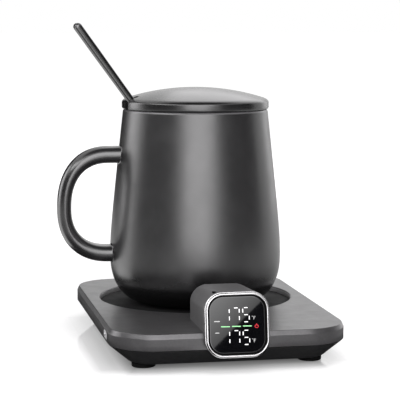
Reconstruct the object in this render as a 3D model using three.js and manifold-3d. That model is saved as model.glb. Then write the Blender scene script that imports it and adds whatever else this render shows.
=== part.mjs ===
// Self heating mug: a lidded mug with its spoon, standing in the well of a powered warmer.
// Millimetres, +Z up. The warmer's deck is at z = 0 while the pieces are made; the whole group is
// then moved so that its feet stand on z = 0 with the origin under the middle of its box.

import * as THREE from 'three';
import { mergeVertices } from 'three/addons/utils/BufferGeometryUtils.js';
import Module from 'manifold-3d';

const wasm = await Module();
wasm.setup();

// Fits

const fit = {
  seat: 0.1, // between faces that rest on one another
  slide: 0.3, // round fits, seams and loose fits
  overrun: 3, // how far a cutting solid runs past the face that it cuts
};

// The mug: its wall is two cubic curves that meet at the belly

const mug = {
  height: 101,
  rimRadius: 37.8,
  bellyRadius: 44.65,
  bellyHeight: 24.4,
  footRadius: 26,
  wall: 3.2,
  floor: 5,
  rimTaper: 6.4, // how much wider than the rim the upper curve aims
  rimPull: 58,
  bellyPull: 10.5,
  lowerPull: 20.5,
  footPull: 6.5,
};

const handle = {
  reach: 72.6, // from the mug's axis to the outside of the bow
  upperHeight: 77.7, // the arms' centre lines, above the mug's foot
  lowerHeight: 26.4,
  bowHeight: 50,
  bowPower: 0.87, // 1 would make the bow's quarter curves ellipses, and less makes them squarer
  armReach: 46, // where the straight arms end and the bow starts
  rootReach: 35,
  bowThickness: 7.4,
  armThickness: 8.9,
  bowDepth: 11,
  armDepth: 12.4,
};

const lid = {
  radius: 38.3,
  crown: 11.2, // top of the dome above the mug's rim
  domeRadius: 120,
  shoulderRun: 4,
  bandHeight: 2.9,
  bandRound: 1.4,
  thickness: 2.4,
  skirtDepth: 8,
  skirtWall: 2,
  sealGroove: 1.1, // room between the skirt and the mug for the seal
};

const notch = {
  width: 5.5,
  innerReach: 31, // from the mug's axis to the notch's inner end
  angle: THREE.MathUtils.degToRad(10.9), // in front of the handle
};

const seal = {
  height: 2.6,
  bite: 0.35, // depth of the groove between its two lips
  drop: 3.2, // below the mug's rim
  gapAtNotch: 1.2, // from the notch's edge to each end of the seal
};

const spoon = {
  length: 168,
  lean: THREE.MathUtils.degToRad(36.9), // from upright
  entryReach: 34.4, // where its centre line crosses the height of entryHeight
  entryHeight: 3.3, // above the mug's rim
  shaftThickness: 3.4,
  shaftWidth: 4.2,
  endThickness: 3.9,
  endWidth: 4.7,
  insideLength: 117, // from the notch to the bowl's end
  neckThickness: 2.2,
  bowlLength: 38,
  bowlWidth: 25,
  bowlDepth: 5.5,
  bowlWall: 1.2,
};

// The warmer

const base = {
  halfWidth: 57.5,
  halfDepth: 81,
  cornerRadius: 22,
  sideHeight: 7.8,
  edgeIn: 0.9,
  edgeDown: 1.9,
  wall: 2.2,
  deck: 2.4,
};

const shell = {
  drop: 8.3,
  taper: 10,
  floor: 2.2,
  wall: 2.2,
  tongueHeight: 1.8,
  tongueWall: 1.5,
};

const well = {
  radius: 50.2,
  rearShare: 0.18344, // of the deck's length beyond the well, the part behind it
  depth: 2.5,
  lipChamfer: 0.5,
  skirtWall: 1.8,
  ledgeRadius: 46,
  ledge: 1.5,
};

const plate = { thickness: 1.5, gasket: 0.8, gasketWidth: 3 };
const heater = { radius: 42, thickness: 0.6, boreRadius: 7 };
const insulation = { radius: 43, thickness: 2.4, boreRadius: 8 };
const retainer = { radius: 45, thickness: 1, boreRadius: 9, earReach: 57, earRadius: 4.2 };
const sensor = { radius: 2.6, height: 2.2 };
const fuse = { radius: 1.6, length: 9, offset: 4.6 };

const foot = { radius: 5.4, height: 2.5, recess: 0.8, sideInset: 16.8, endInset: 19.8, round: 0.7 };

const screw = {
  shankRadius: 1.25,
  headRadius: 2.5,
  headHeight: 1.2,
  driveRadius: 0.95,
  driveDepth: 0.7,
  recess: 1.3, // depth of the counterbore that takes a case screw's head
  bossWall: 1.9,
  tipClearance: 0.6,
};

const caseScrew = { sideInset: 26, endInset: 15, length: 8 };
const podScrew = { x: 8, length: 4.6 };
const retainerScrew = { length: 4.6 };

const pod = {
  halfSize: 15.1,
  cornerRadius: 8.3,
  rearRound: 2.6,
  proud: 1.4, // the tilted face's centre, in front of the deck's edge
  deckShare: 0.755, // of the deck in front of the well, the part that it covers
  frontZ: 4,
  rearZ: 1.8,
  tilt: THREE.MathUtils.degToRad(8.6),
  wall: 2,
};

const bezel = {
  halfSize: 15.6,
  cornerRadius: 8.8,
  depth: 2.6,
  rim: 1.9,
  round: 0.7,
  flange: 0.8,
  flangeIn: 0.35,
};

const lens = { thickness: 1.2, recess: 0.5 };
const lightGuide = { halfWidth: 10.4, halfHeight: 10.6, depth: 3.4, gap: 0.3, cornerRadius: 1.5 };
const displayBoard = { halfSize: 12, thickness: 1.2, cornerRadius: 6 };

const inlet = {
  boardShare: 0.651, // of the control board's length, from its front edge
  z: -5,
  halfWidth: 5.5,
  halfHeight: 1.9,
  wall: 0.7,
  length: 8,
  setback: 0.2,
  tongueHalfWidth: 3.3,
  tongueThickness: 0.7,
  tongueLength: 4.6,
  blockLength: 2.4,
};

const board = {
  edgeGap: 4.9, // from the deck housing's outside
  podGap: 4.9,
  wellGap: 3.5,
  bossGap: 0.55,
  thickness: 1.6,
  cornerRadius: 2,
};
const standoff = { radius: 2.2, inset: 4.5, edgeInset: 9 };

// Places that follow from the sizes

const boss = { radius: screw.shankRadius + fit.slide + screw.bossWall };
const deckRoom = 2 * (base.halfDepth - well.radius);
const frontRoom = (1 - well.rearShare) * deckRoom;
well.centreY = base.halfDepth - well.radius - well.rearShare * deckRoom;
foot.x = base.halfWidth - foot.sideInset;
foot.y = base.halfDepth - foot.endInset;
caseScrew.x = base.halfWidth - caseScrew.sideInset;
caseScrew.y = base.halfDepth - caseScrew.endInset;
pod.frontY = -base.halfDepth - pod.proud;
pod.rearY = -base.halfDepth + pod.deckShare * frontRoom;
podScrew.y = pod.rearY - pod.wall - boss.radius - fit.slide;
board.x0 = -base.halfWidth + board.edgeGap;
board.x1 = -pod.halfSize - board.podGap;
board.y0 = -base.halfDepth + board.edgeGap;
board.y1 = well.centreY - well.radius - well.skirtWall - board.wellGap;
inlet.y = THREE.MathUtils.lerp(board.y0, board.y1, inlet.boardShare);

// How finely the round forms are cut

const round = {
  mug: 46, // lathed forms in view
  plate: 40,
  hidden: 24, // discs and rings inside the warmer
  part: 18,
  screw: 12,
  corner: 5,
  wallSteps: 6,
  domeSteps: 5,
  lipSteps: 4,
};

// Colours, as the photograph shows them

function material(colour, roughness, metalness) {
  return new THREE.MeshStandardMaterial({ color: colour, roughness, metalness });
}

const finish = {
  glaze: material(0x3a393b, 0.42, 0.1),
  spoonBlack: material(0x1c1c1d, 0.35, 0.3),
  deckGrey: material(0x5b595c, 0.4, 0.55),
  plateBlack: material(0x2c2b2d, 0.5, 0.2),
  shellBlack: material(0x161617, 0.5, 0),
  rubber: material(0x0d0d0d, 0.85, 0),
  silicone: material(0x2a2a2b, 0.7, 0),
  silver: material(0xd6d6d8, 0.2, 1),
  lensBlack: material(0x0b0b0d, 0.05, 0),
  steel: material(0xc9c9cb, 0.3, 1),
  board: material(0x1d4a2c, 0.6, 0),
  whitePlastic: material(0xe6e6e2, 0.5, 0),
  mica: material(0xb9ad93, 0.8, 0),
  film: material(0x8a5a2b, 0.5, 0.1),
};

// Solids

function toManifold(geometry) {
  const bare = geometry.clone();
  bare.deleteAttribute('normal');
  bare.deleteAttribute('uv');
  const merged = mergeVertices(bare, fit.seat / 1000);
  const index = merged.index.array;
  const triangles = [];
  for (let i = 0; i < index.length; i += 3) {
    const [a, b, c] = [index[i], index[i + 1], index[i + 2]];
    if (a !== b && b !== c && a !== c) triangles.push(a, b, c);
  }
  const make = (triVerts) => new wasm.Manifold(new wasm.Mesh({
    numProp: 3,
    vertProperties: Float32Array.from(merged.attributes.position.array),
    triVerts: Uint32Array.from(triVerts),
  }));
  const solid = make(triangles);
  if (solid.volume() > 0) return solid;
  const flipped = [];
  for (let i = 0; i < triangles.length; i += 3) {
    flipped.push(triangles[i], triangles[i + 2], triangles[i + 1]);
  }
  return make(flipped);
}

function toGeometry(solid) {
  const mesh = solid.getMesh();
  const geometry = new THREE.BufferGeometry();
  const positions = new Float32Array(mesh.numVert * 3);
  for (let v = 0; v < mesh.numVert; v++) {
    for (let k = 0; k < 3; k++) positions[3 * v + k] = mesh.vertProperties[mesh.numProp * v + k];
  }
  geometry.setAttribute('position', new THREE.BufferAttribute(positions, 3));
  geometry.setIndex(new THREE.BufferAttribute(Uint32Array.from(mesh.triVerts), 1));
  geometry.computeVertexNormals();
  return geometry;
}

const join = (first, ...rest) => rest.reduce((solid, other) => solid.add(other), first);
const cut = (first, ...rest) => rest.reduce((solid, other) => solid.subtract(other), first);

// A solid skinned over rings of points; each ring has the same count
function skin(rings) {
  const count = rings[0].length;
  const positions = [];
  const triangles = [];
  for (const ring of rings) for (const p of ring) positions.push(p.x, p.y, p.z);
  for (let r = 0; r + 1 < rings.length; r++) {
    for (let i = 0; i < count; i++) {
      const a = r * count + i;
      const b = r * count + (i + 1) % count;
      triangles.push(a, b, b + count, a, b + count, a + count);
    }
  }
  const cap = (ring, offset, flip) => {
    const middle = ring.reduce((sum, p) => sum.add(p), new THREE.Vector3()).divideScalar(count);
    const centre = positions.length / 3;
    positions.push(middle.x, middle.y, middle.z);
    for (let i = 0; i < count; i++) {
      const a = offset + i;
      const b = offset + (i + 1) % count;
      if (flip) triangles.push(centre, b, a);
      else triangles.push(centre, a, b);
    }
  };
  cap(rings[0], 0, true);
  cap(rings[rings.length - 1], (rings.length - 1) * count, false);
  const geometry = new THREE.BufferGeometry();
  geometry.setAttribute('position', new THREE.Float32BufferAttribute(positions, 3));
  geometry.setIndex(triangles);
  return toManifold(geometry);
}

// A solid of revolution about +Z, from [radius, height] points that close on themselves or on the axis
function revolve(profile, segments = round.part) {
  const points = profile.map(([r, z]) => new THREE.Vector2(r, z));
  return toManifold(new THREE.LatheGeometry(points, segments).rotateX(Math.PI / 2));
}

function disc(radius, z0, z1, segments = round.part) {
  return revolve([[0, z0], [radius, z0], [radius, z1], [0, z1]], segments);
}

function ring(inner, outer, z0, z1, segments = round.part) {
  return revolve([[inner, z0], [outer, z0], [outer, z1], [inner, z1], [inner, z0]], segments);
}

function block(x0, x1, y0, y1, z0, z1) {
  const box = new THREE.BoxGeometry(x1 - x0, y1 - y0, z1 - z0);
  return toManifold(box.translate((x0 + x1) / 2, (y0 + y1) / 2, (z0 + z1) / 2));
}

// The points of a rounded rectangle, counter-clockwise, as [x, y] pairs
function roundedOutline(halfX, halfY, radius, steps = round.corner) {
  const r = Math.min(radius, halfX, halfY);
  const corners = [[1, 1], [-1, 1], [-1, -1], [1, -1]];
  return corners.flatMap(([sx, sy], quarter) => Array.from({ length: steps + 1 }, (_, i) => {
    const angle = (quarter + i / steps) * Math.PI / 2;
    return [sx * (halfX - r) + r * Math.cos(angle), sy * (halfY - r) + r * Math.sin(angle)];
  }));
}

const levelRing = (halfX, halfY, radius, z) =>
  roundedOutline(halfX, halfY, radius).map(([x, y]) => new THREE.Vector3(x, y, z));

const uprightRing = (half, radius, y, z) =>
  roundedOutline(half, half, radius).map(([x, up]) => new THREE.Vector3(x, y, z + up));

const at = (solid, x, y, z = 0) => solid.translate([x, y, z]);

function turned(solid, matrix) {
  return toManifold(toGeometry(solid).applyMatrix4(matrix));
}

// The levels that the pieces share, from the deck down

const level = {};
level.plateTop = -well.depth;
level.plateBottom = level.plateTop - plate.thickness;
level.gasketBottom = level.plateBottom - fit.seat - plate.gasket;
level.ledgeTop = level.gasketBottom - fit.seat;
level.ledgeBottom = level.ledgeTop - well.ledge;
level.heaterBottom = level.plateBottom - fit.seat - heater.thickness;
level.insulationBottom = level.heaterBottom - fit.seat - insulation.thickness;
level.retainerTop = level.insulationBottom - fit.seat;
level.retainerBottom = level.retainerTop - retainer.thickness;
level.seam = -base.sideHeight;
level.shellBottom = level.seam - shell.drop;
level.shellFloor = level.shellBottom + shell.floor;
level.ground = level.shellBottom - foot.height;
level.mugFoot = level.plateTop + fit.seat;
level.mugRim = level.mugFoot + mug.height;

const meshes = [];

function piece(name, solid, look) {
  const mesh = new THREE.Mesh(toGeometry(solid), look);
  mesh.name = name;
  meshes.push(mesh);
}

// Mug body

function mugWall(inset, startHeight, endHeight, steps) {
  const lowerShare = (mug.bellyHeight - startHeight) / mug.bellyHeight;
  const belly = new THREE.Vector2(mug.bellyRadius - inset, mug.bellyHeight);
  const start = new THREE.Vector2(mug.footRadius - inset / 2, startHeight);
  const end = new THREE.Vector2(mug.rimRadius - inset, endHeight);
  const lower = new THREE.CubicBezierCurve(
    start,
    new THREE.Vector2(start.x + mug.footPull, startHeight),
    new THREE.Vector2(belly.x, belly.y - mug.lowerPull * lowerShare),
    belly,
  );
  const upper = new THREE.CubicBezierCurve(
    belly,
    new THREE.Vector2(belly.x, belly.y + mug.bellyPull),
    new THREE.Vector2(end.x + mug.rimTaper, endHeight - mug.rimPull),
    end,
  );
  const points = [...lower.getPoints(steps), ...upper.getPoints(steps).slice(1)];
  return points.map((p) => [p.x, p.y]);
}

function mugBody() {
  const lipRadius = mug.wall / 2;
  const lipHeight = mug.height - lipRadius;
  const outside = mugWall(0, 0, lipHeight, round.wallSteps);
  const inside = mugWall(mug.wall, mug.floor, lipHeight, round.domeSteps);
  const lip = Array.from({ length: round.lipSteps - 1 }, (_, i) => {
    const angle = (i + 1) / round.lipSteps * Math.PI;
    return [mug.rimRadius - lipRadius + lipRadius * Math.cos(angle), lipHeight + lipRadius * Math.sin(angle)];
  });
  const profile = [[0, 0], ...outside, ...lip, ...inside.reverse(), [0, mug.floor]];
  return revolve(profile, round.mug);
}

const onPlate = (solid) => at(solid, 0, well.centreY, level.mugFoot);

// Handle: an oval section carried along two straight arms and a bow of two squarish quarter curves

function handleStations() {
  const bow = handle.reach - handle.bowThickness / 2;
  const run = bow - handle.armReach;
  const stations = [];
  const arm = (height, reach, towardBow) => stations.push({
    x: -reach, z: height, tx: towardBow ? -1 : 1, tz: 0, share: 0,
  });
  const bend = (armHeight, from, to, steps) => {
    const rise = armHeight - handle.bowHeight;
    for (let i = 0; i <= steps; i++) {
      const angle = (from + (to - from) * i / steps) * Math.PI / 2;
      const turn = to > from ? 1 : -1;
      const tx = -run * Math.cos(angle) ** (2 - handle.bowPower) * turn;
      const tz = -rise * Math.sin(angle) ** (2 - handle.bowPower) * turn;
      const size = Math.hypot(tx, tz);
      stations.push({
        x: -handle.armReach - run * Math.sin(angle) ** handle.bowPower,
        z: handle.bowHeight + rise * Math.cos(angle) ** handle.bowPower,
        tx: tx / size,
        tz: tz / size,
        share: Math.sin(angle) ** 2,
      });
    }
  };
  arm(handle.lowerHeight, handle.rootReach, true);
  bend(handle.lowerHeight, 0, 1, round.corner + 3);
  stations.pop();
  bend(handle.upperHeight, 1, 0, round.corner + 3);
  arm(handle.upperHeight, handle.rootReach, false);
  return stations;
}

function mugHandle() {
  const points = round.part - 4;
  const squareness = 0.85;
  const rings = handleStations().map((s) => {
    const half = THREE.MathUtils.lerp(handle.armThickness, handle.bowThickness, s.share) / 2;
    const depth = THREE.MathUtils.lerp(handle.armDepth, handle.bowDepth, s.share) / 2;
    return Array.from({ length: points }, (_, i) => {
      const angle = i / points * 2 * Math.PI;
      const u = half * Math.sign(Math.cos(angle)) * Math.abs(Math.cos(angle)) ** squareness;
      const v = depth * Math.sign(Math.sin(angle)) * Math.abs(Math.sin(angle)) ** squareness;
      return new THREE.Vector3(s.x + s.tz * u, v, s.z - s.tx * u);
    });
  });
  const filled = mugWall(-fit.slide, 0, mug.height, round.wallSteps);
  const mugSpace = revolve([[0, 0], ...filled, [0, mug.height]], round.mug);
  return cut(skin(rings), mugSpace);
}

// Lid, its seal, and the notch that the spoon leans through

const notchTurn = new THREE.Matrix4().makeRotationZ(notch.angle);

function notchSpace(margin, innerReach, z0, z1) {
  const half = notch.width / 2 + margin;
  const tip = disc(half, z0, z1);
  const slot = join(
    at(tip, -innerReach - notch.width / 2, 0),
    block(-lid.radius - fit.overrun, -innerReach - notch.width / 2, -half, half, z0, z1),
  );
  return turned(slot, notchTurn);
}

const domeHeight = (r, radius, top) => top - radius + Math.sqrt(radius ** 2 - r ** 2);

function lidBody() {
  const seatZ = fit.seat;
  const shoulder = lid.radius - lid.shoulderRun;
  const arc = (radius, top, reach, steps) => Array.from({ length: steps + 1 }, (_, i) => {
    const r = reach * i / steps;
    return [r, domeHeight(r, radius, top)];
  });
  const blend = new THREE.QuadraticBezierCurve(
    new THREE.Vector2(shoulder, domeHeight(shoulder, lid.domeRadius, lid.crown)),
    new THREE.Vector2(lid.radius, domeHeight(lid.radius, lid.domeRadius, lid.crown)),
    new THREE.Vector2(lid.radius, lid.bandHeight),
  ).getPoints(round.lipSteps).slice(1).map((p) => [p.x, p.y]);
  const skirtOuter = mug.rimRadius - mug.wall - lid.sealGroove - fit.slide;
  const skirtInner = skirtOuter - lid.skirtWall;
  const under = lid.domeRadius - lid.thickness;
  const underTop = lid.crown - lid.thickness;
  const profile = [
    ...arc(lid.domeRadius, lid.crown, shoulder, round.domeSteps),
    ...blend,
    [lid.radius, seatZ + lid.bandRound],
    [lid.radius - lid.bandRound, seatZ],
    [skirtOuter, seatZ],
    [skirtOuter, -lid.skirtDepth],
    [skirtInner, -lid.skirtDepth],
    ...arc(under, underTop, skirtInner, round.lipSteps - 1).reverse(),
  ];
  const slot = notchSpace(0, notch.innerReach, 0, lid.crown);
  const skirtSlot = notchSpace(0, skirtInner - notch.width, -lid.skirtDepth - fit.overrun, fit.overrun);
  return cut(revolve(profile, round.mug), slot, skirtSlot);
}

function lidSeal() {
  const inner = mug.rimRadius - mug.wall - lid.sealGroove - fit.slide + fit.seat;
  const outer = mug.rimRadius - mug.wall - fit.slide;
  const top = -seal.drop;
  const bottom = top - seal.height;
  const lipHeight = seal.height / 4;
  const band = revolve([
    [inner, bottom],
    [outer, bottom],
    [outer, bottom + lipHeight],
    [outer - seal.bite, bottom + lipHeight],
    [outer - seal.bite, top - lipHeight],
    [outer, top - lipHeight],
    [outer, top],
    [inner, top],
    [inner, bottom],
  ], round.mug);
  const reach = inner - notch.width;
  return cut(band, notchSpace(seal.gapAtNotch, reach, bottom - fit.overrun, top + fit.overrun));
}

const onRim = (solid) => at(solid, 0, well.centreY, level.mugRim);

// Spoon: made lying along +Z with its bowl down, then leaned into the notch

function ovalRing(halfU, halfV, z) {
  const points = round.screw;
  return Array.from({ length: points }, (_, i) => {
    const angle = i / points * 2 * Math.PI;
    return new THREE.Vector3(halfU * Math.cos(angle), halfV * Math.sin(angle), z);
  });
}

function spoonSolid() {
  const top = spoon.length - spoon.insideLength;
  const bottom = top - spoon.length;
  const neck = bottom + spoon.bowlLength;
  const endRound = spoon.endWidth / 2;
  const rings = [
    ovalRing(spoon.neckThickness / 2, spoon.neckThickness, neck - spoon.bowlLength / 6),
    ovalRing(spoon.neckThickness / 2, spoon.shaftWidth / 2, neck + spoon.bowlLength / 4),
    ovalRing(spoon.shaftThickness / 2, spoon.shaftWidth / 2, neck + spoon.bowlLength),
    ovalRing(spoon.shaftThickness / 2, spoon.shaftWidth / 2, 0),
  ];
  const steps = round.lipSteps;
  for (let i = 0; i < steps; i++) {
    const angle = i / steps * Math.PI / 2;
    const share = Math.cos(angle);
    rings.push(ovalRing(
      spoon.endThickness / 2 * share,
      spoon.endWidth / 2 * share,
      top - endRound + endRound * Math.sin(angle),
    ));
  }
  const ball = new THREE.SphereGeometry(1, round.part, round.screw - 2);
  const bowlZ = bottom + spoon.bowlLength / 2;
  const halves = [spoon.bowlDepth, spoon.bowlWidth / 2, spoon.bowlLength / 2];
  const outer = toManifold(ball.clone().scale(...halves));
  const inner = toManifold(ball.clone().scale(...halves.map((h) => h - spoon.bowlWall)));
  const above = block(
    spoon.bowlWall / 2,
    spoon.bowlDepth + fit.overrun,
    -spoon.bowlWidth,
    spoon.bowlWidth,
    -spoon.bowlLength,
    spoon.bowlLength,
  );
  const bowl = at(cut(outer, inner, above), 0, 0, bowlZ);
  const dish = at(cut(inner, block(
    -spoon.bowlDepth - fit.overrun,
    -spoon.bowlWall,
    -spoon.bowlWidth,
    spoon.bowlWidth,
    -spoon.bowlLength,
    spoon.bowlLength,
  )), 0, 0, bowlZ);
  return join(cut(skin(rings), dish), bowl);
}

function spoonInMug() {
  const lean = new THREE.Matrix4().makeRotationY(-spoon.lean);
  const place = new THREE.Matrix4().makeTranslation(-spoon.entryReach, 0, spoon.entryHeight);
  return turned(spoonSolid(), notchTurn.clone().multiply(place).multiply(lean));
}

// Screws, head down at the origin and shank up

function screwSolid(length) {
  const shank = revolve([
    [0, 0],
    [screw.headRadius, 0],
    [screw.headRadius, screw.headHeight],
    [screw.shankRadius, screw.headHeight],
    [screw.shankRadius, screw.headHeight + length - screw.shankRadius],
    [0, screw.headHeight + length],
  ], round.screw);
  const drive = new THREE.CylinderGeometry(
    screw.driveRadius,
    screw.driveRadius,
    2 * screw.driveDepth,
    6,
  ).rotateX(Math.PI / 2);
  return cut(shank, toManifold(drive));
}

const screwHole = (z0, z1) => disc(screw.shankRadius + fit.slide, z0, z1, round.screw);
const screwBoss = (z0, z1) => disc(boss.radius, z0, z1, round.screw);

const signs = [[-1, -1], [1, -1], [-1, 1], [1, 1]];
const caseScrewPlaces = signs.map(([sx, sy]) => [sx * caseScrew.x, sy * caseScrew.y]);
const podScrewPlaces = [[-podScrew.x, podScrew.y], [podScrew.x, podScrew.y]];
const earPlaces = signs.map(([sx, sy]) => {
  const reach = retainer.earReach * Math.SQRT1_2;
  return [sx * reach, well.centreY + sy * reach];
});

const headBottom = level.shellBottom + screw.recess - screw.headHeight;
const bossBottom = level.shellFloor + fit.slide;

// Display pod

const podFace = new THREE.Matrix4()
  .makeTranslation(0, pod.frontY, pod.frontZ)
  .multiply(new THREE.Matrix4().makeRotationX(Math.PI / 2 - pod.tilt));

// Turns a solid made on z = 0 into one on the pod's tilted face, with its +Z coming out of it
const onFace = (solid) => turned(solid, podFace);

function podPrism(grow, rearY) {
  const slope = (pod.rearZ - pod.frontZ) / (pod.rearY - pod.frontY);
  const frontY = pod.frontY - pod.halfSize;
  const half = pod.halfSize + grow;
  const radius = pod.cornerRadius + grow;
  const zAt = (y) => pod.frontZ + slope * (y - pod.frontY);
  const roundOff = pod.rearRound;
  const rings = [];
  for (let i = 0; i <= round.lipSteps; i++) {
    const angle = i / round.lipSteps * Math.PI / 2;
    const inset = roundOff * (1 - Math.sin(angle));
    const y = rearY - roundOff * (1 - Math.cos(angle));
    rings.push(uprightRing(half - inset, radius - inset, y, zAt(y)));
  }
  rings.push(uprightRing(half, radius, frontY, zAt(frontY)));
  return skin(rings);
}

function podHousing() {
  const reach = 3 * pod.halfSize;
  const ahead = onFace(block(-reach, reach, -reach, reach, 0, reach));
  const hollow = cut(
    podPrism(-pod.wall, pod.rearY - pod.wall),
    podScrewPlaces
      .map(([x, y]) => at(screwBoss(pod.frontZ - pod.halfSize, podBossTop), x, y))
      .reduce((a, b) => a.add(b)),
  );
  const floorZ = pod.frontZ - pod.halfSize - fit.overrun;
  const holes = podScrewPlaces.map(([x, y]) => at(screwHole(floorZ, podBossTop - pod.wall), x, y));
  const wireSlot = block(
    -podScrew.x / 2,
    podScrew.x / 2,
    pod.rearY - 3 * pod.wall,
    pod.rearY - pod.wall - pod.rearRound / 2,
    floorZ,
    pod.frontZ - pod.halfSize / 2,
  );
  return cut(podPrism(0, pod.rearY), hollow, ahead, wireSlot, ...holes);
}

const podBossTop = pod.frontZ - pod.halfSize + podScrew.length + pod.wall;

function bezelRing() {
  const inner = bezel.halfSize - bezel.rim;
  const innerCorner = bezel.cornerRadius - bezel.rim;
  const outline = (inset, z) => levelRing(
    bezel.halfSize - inset,
    bezel.halfSize - inset,
    bezel.cornerRadius - inset,
    z,
  );
  const body = skin([
    outline(bezel.flangeIn, fit.seat),
    outline(bezel.flangeIn, bezel.flange),
    outline(0, bezel.flange + bezel.flangeIn),
    outline(0, bezel.depth - bezel.round),
    outline(bezel.round * (1 - Math.SQRT1_2), bezel.depth - bezel.round * (1 - Math.SQRT1_2)),
    outline(bezel.round, bezel.depth),
  ]);
  const throat = bezel.depth - bezel.round;
  const hole = skin([
    levelRing(inner, inner, innerCorner, -fit.overrun),
    levelRing(inner, inner, innerCorner, throat),
    levelRing(inner + bezel.round / 2, inner + bezel.round / 2, innerCorner + bezel.round / 2, bezel.depth),
    levelRing(
      inner + bezel.round / 2,
      inner + bezel.round / 2,
      innerCorner + bezel.round / 2,
      bezel.depth + fit.overrun,
    ),
  ]);
  return cut(body, hole);
}

function lensPane() {
  const half = bezel.halfSize - bezel.rim - fit.slide;
  const radius = bezel.cornerRadius - bezel.rim - fit.slide;
  const top = bezel.depth - bezel.round - lens.recess;
  return skin([levelRing(half, half, radius, top - lens.thickness), levelRing(half, half, radius, top)]);
}

const lensBack = bezel.depth - bezel.round - lens.recess - lens.thickness;
const guideTop = lensBack - lightGuide.gap;
const guideBottom = guideTop - lightGuide.depth;

// Three rows of windows in the light guide: two rows of digits and the bar between them
function displayGuide() {
  const { halfWidth, halfHeight, cornerRadius } = lightGuide;
  const body = skin([
    levelRing(halfWidth, halfHeight, cornerRadius, guideBottom),
    levelRing(halfWidth, halfHeight, cornerRadius, guideTop),
  ]);
  const cellShares = [-0.56, 0, 0.56];
  const digitHalf = halfWidth / 5;
  const windows = cellShares.flatMap((xShare) => [-1, 1].map((side) => block(
    xShare * halfWidth - digitHalf,
    xShare * halfWidth + digitHalf,
    side * halfHeight / 2 - 1.5 * digitHalf,
    side * halfHeight / 2 + 1.5 * digitHalf,
    guideBottom + lightGuide.depth / 3,
    guideTop + fit.overrun,
  )));
  return cut(body, ...windows);
}

function displayBoardSolid() {
  const { halfSize, thickness, cornerRadius } = displayBoard;
  const top = guideBottom - fit.seat;
  return skin([
    levelRing(halfSize, halfSize, cornerRadius, top - thickness),
    levelRing(halfSize, halfSize, cornerRadius, top),
  ]);
}

// Power inlet, made with its mouth towards -X at the origin

function stadium(halfWidth, halfHeight, x0, x1) {
  const rings = [x0, x1].map((x) =>
    roundedOutline(halfWidth, halfHeight, halfHeight).map(([y, z]) => new THREE.Vector3(x, y, z)));
  return skin(rings);
}

function inletShell() {
  const bore = stadium(
    inlet.halfWidth - inlet.wall,
    inlet.halfHeight - inlet.wall,
    -fit.overrun,
    inlet.length + fit.overrun,
  );
  return cut(stadium(inlet.halfWidth, inlet.halfHeight, 0, inlet.length), bore);
}

function inletTongue() {
  const blockStart = inlet.length - inlet.blockLength;
  const back = stadium(
    inlet.halfWidth - inlet.wall - fit.seat,
    inlet.halfHeight - inlet.wall - fit.seat,
    blockStart,
    inlet.length,
  );
  const tongue = block(
    blockStart - inlet.tongueLength,
    inlet.length - fit.seat,
    -inlet.tongueHalfWidth,
    inlet.tongueHalfWidth,
    -inlet.tongueThickness / 2,
    inlet.tongueThickness / 2,
  );
  return join(back, tongue);
}

const inletX = -base.halfWidth + inlet.setback;
const atInlet = (solid) => at(solid, inletX, inlet.y, inlet.z);

// Deck housing: deck, side wall, well wall with its ledge, and the screw bosses

function deckHousing() {
  const { halfWidth, halfDepth, cornerRadius } = base;
  const outline = (inset, z) => levelRing(halfWidth - inset, halfDepth - inset, cornerRadius - inset, z);
  const rings = [outline(0, level.seam)];
  for (let i = 0; i <= 3; i++) {
    const angle = i / 3 * Math.PI / 2;
    rings.push(outline(base.edgeIn * (1 - Math.cos(angle)), -base.edgeDown * (1 - Math.sin(angle))));
  }
  const cavity = skin([
    outline(base.wall, level.seam - fit.overrun),
    outline(base.wall, -base.deck),
  ]);
  const wellWall = at(
    disc(well.radius + well.skirtWall, level.ledgeBottom, -base.deck / 2, round.plate),
    0,
    well.centreY,
  );
  const caseBosses = caseScrewPlaces.map(([x, y]) => at(screwBoss(bossBottom, -base.deck / 2), x, y));
  const earBosses = earPlaces.map(([x, y]) =>
    at(screwBoss(level.retainerTop + fit.seat, -base.deck / 2), x, y));
  const body = join(cut(skin(rings), cavity), wellWall, ...caseBosses, ...earBosses);
  const wellSpace = revolve([
    [0, level.ledgeTop],
    [well.radius, level.ledgeTop],
    [well.radius, -well.lipChamfer],
    [well.radius + well.lipChamfer, 0],
    [well.radius + well.lipChamfer, fit.overrun],
    [0, fit.overrun],
  ], round.plate);
  const ledgeHole = disc(well.ledgeRadius, level.ledgeBottom - fit.overrun, 0, round.plate);
  const blind = -base.deck - screw.tipClearance / 2;
  const holes = [...caseScrewPlaces, ...earPlaces].map(([x, y]) =>
    at(screwHole(level.shellBottom, blind), x, y));
  const inletHole = atInlet(stadium(
    inlet.halfWidth + fit.slide,
    inlet.halfHeight + fit.slide,
    -fit.overrun,
    inlet.length,
  ));
  return cut(
    body,
    at(wellSpace, 0, well.centreY),
    at(ledgeHole, 0, well.centreY),
    podPrism(fit.slide, pod.rearY + fit.slide),
    inletHole,
    ...holes,
  );
}

// Bottom shell: a tapering tray with a tongue that locates it inside the deck housing

function shellInset(z) {
  return shell.taper * (level.seam - z) / shell.drop;
}

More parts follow.
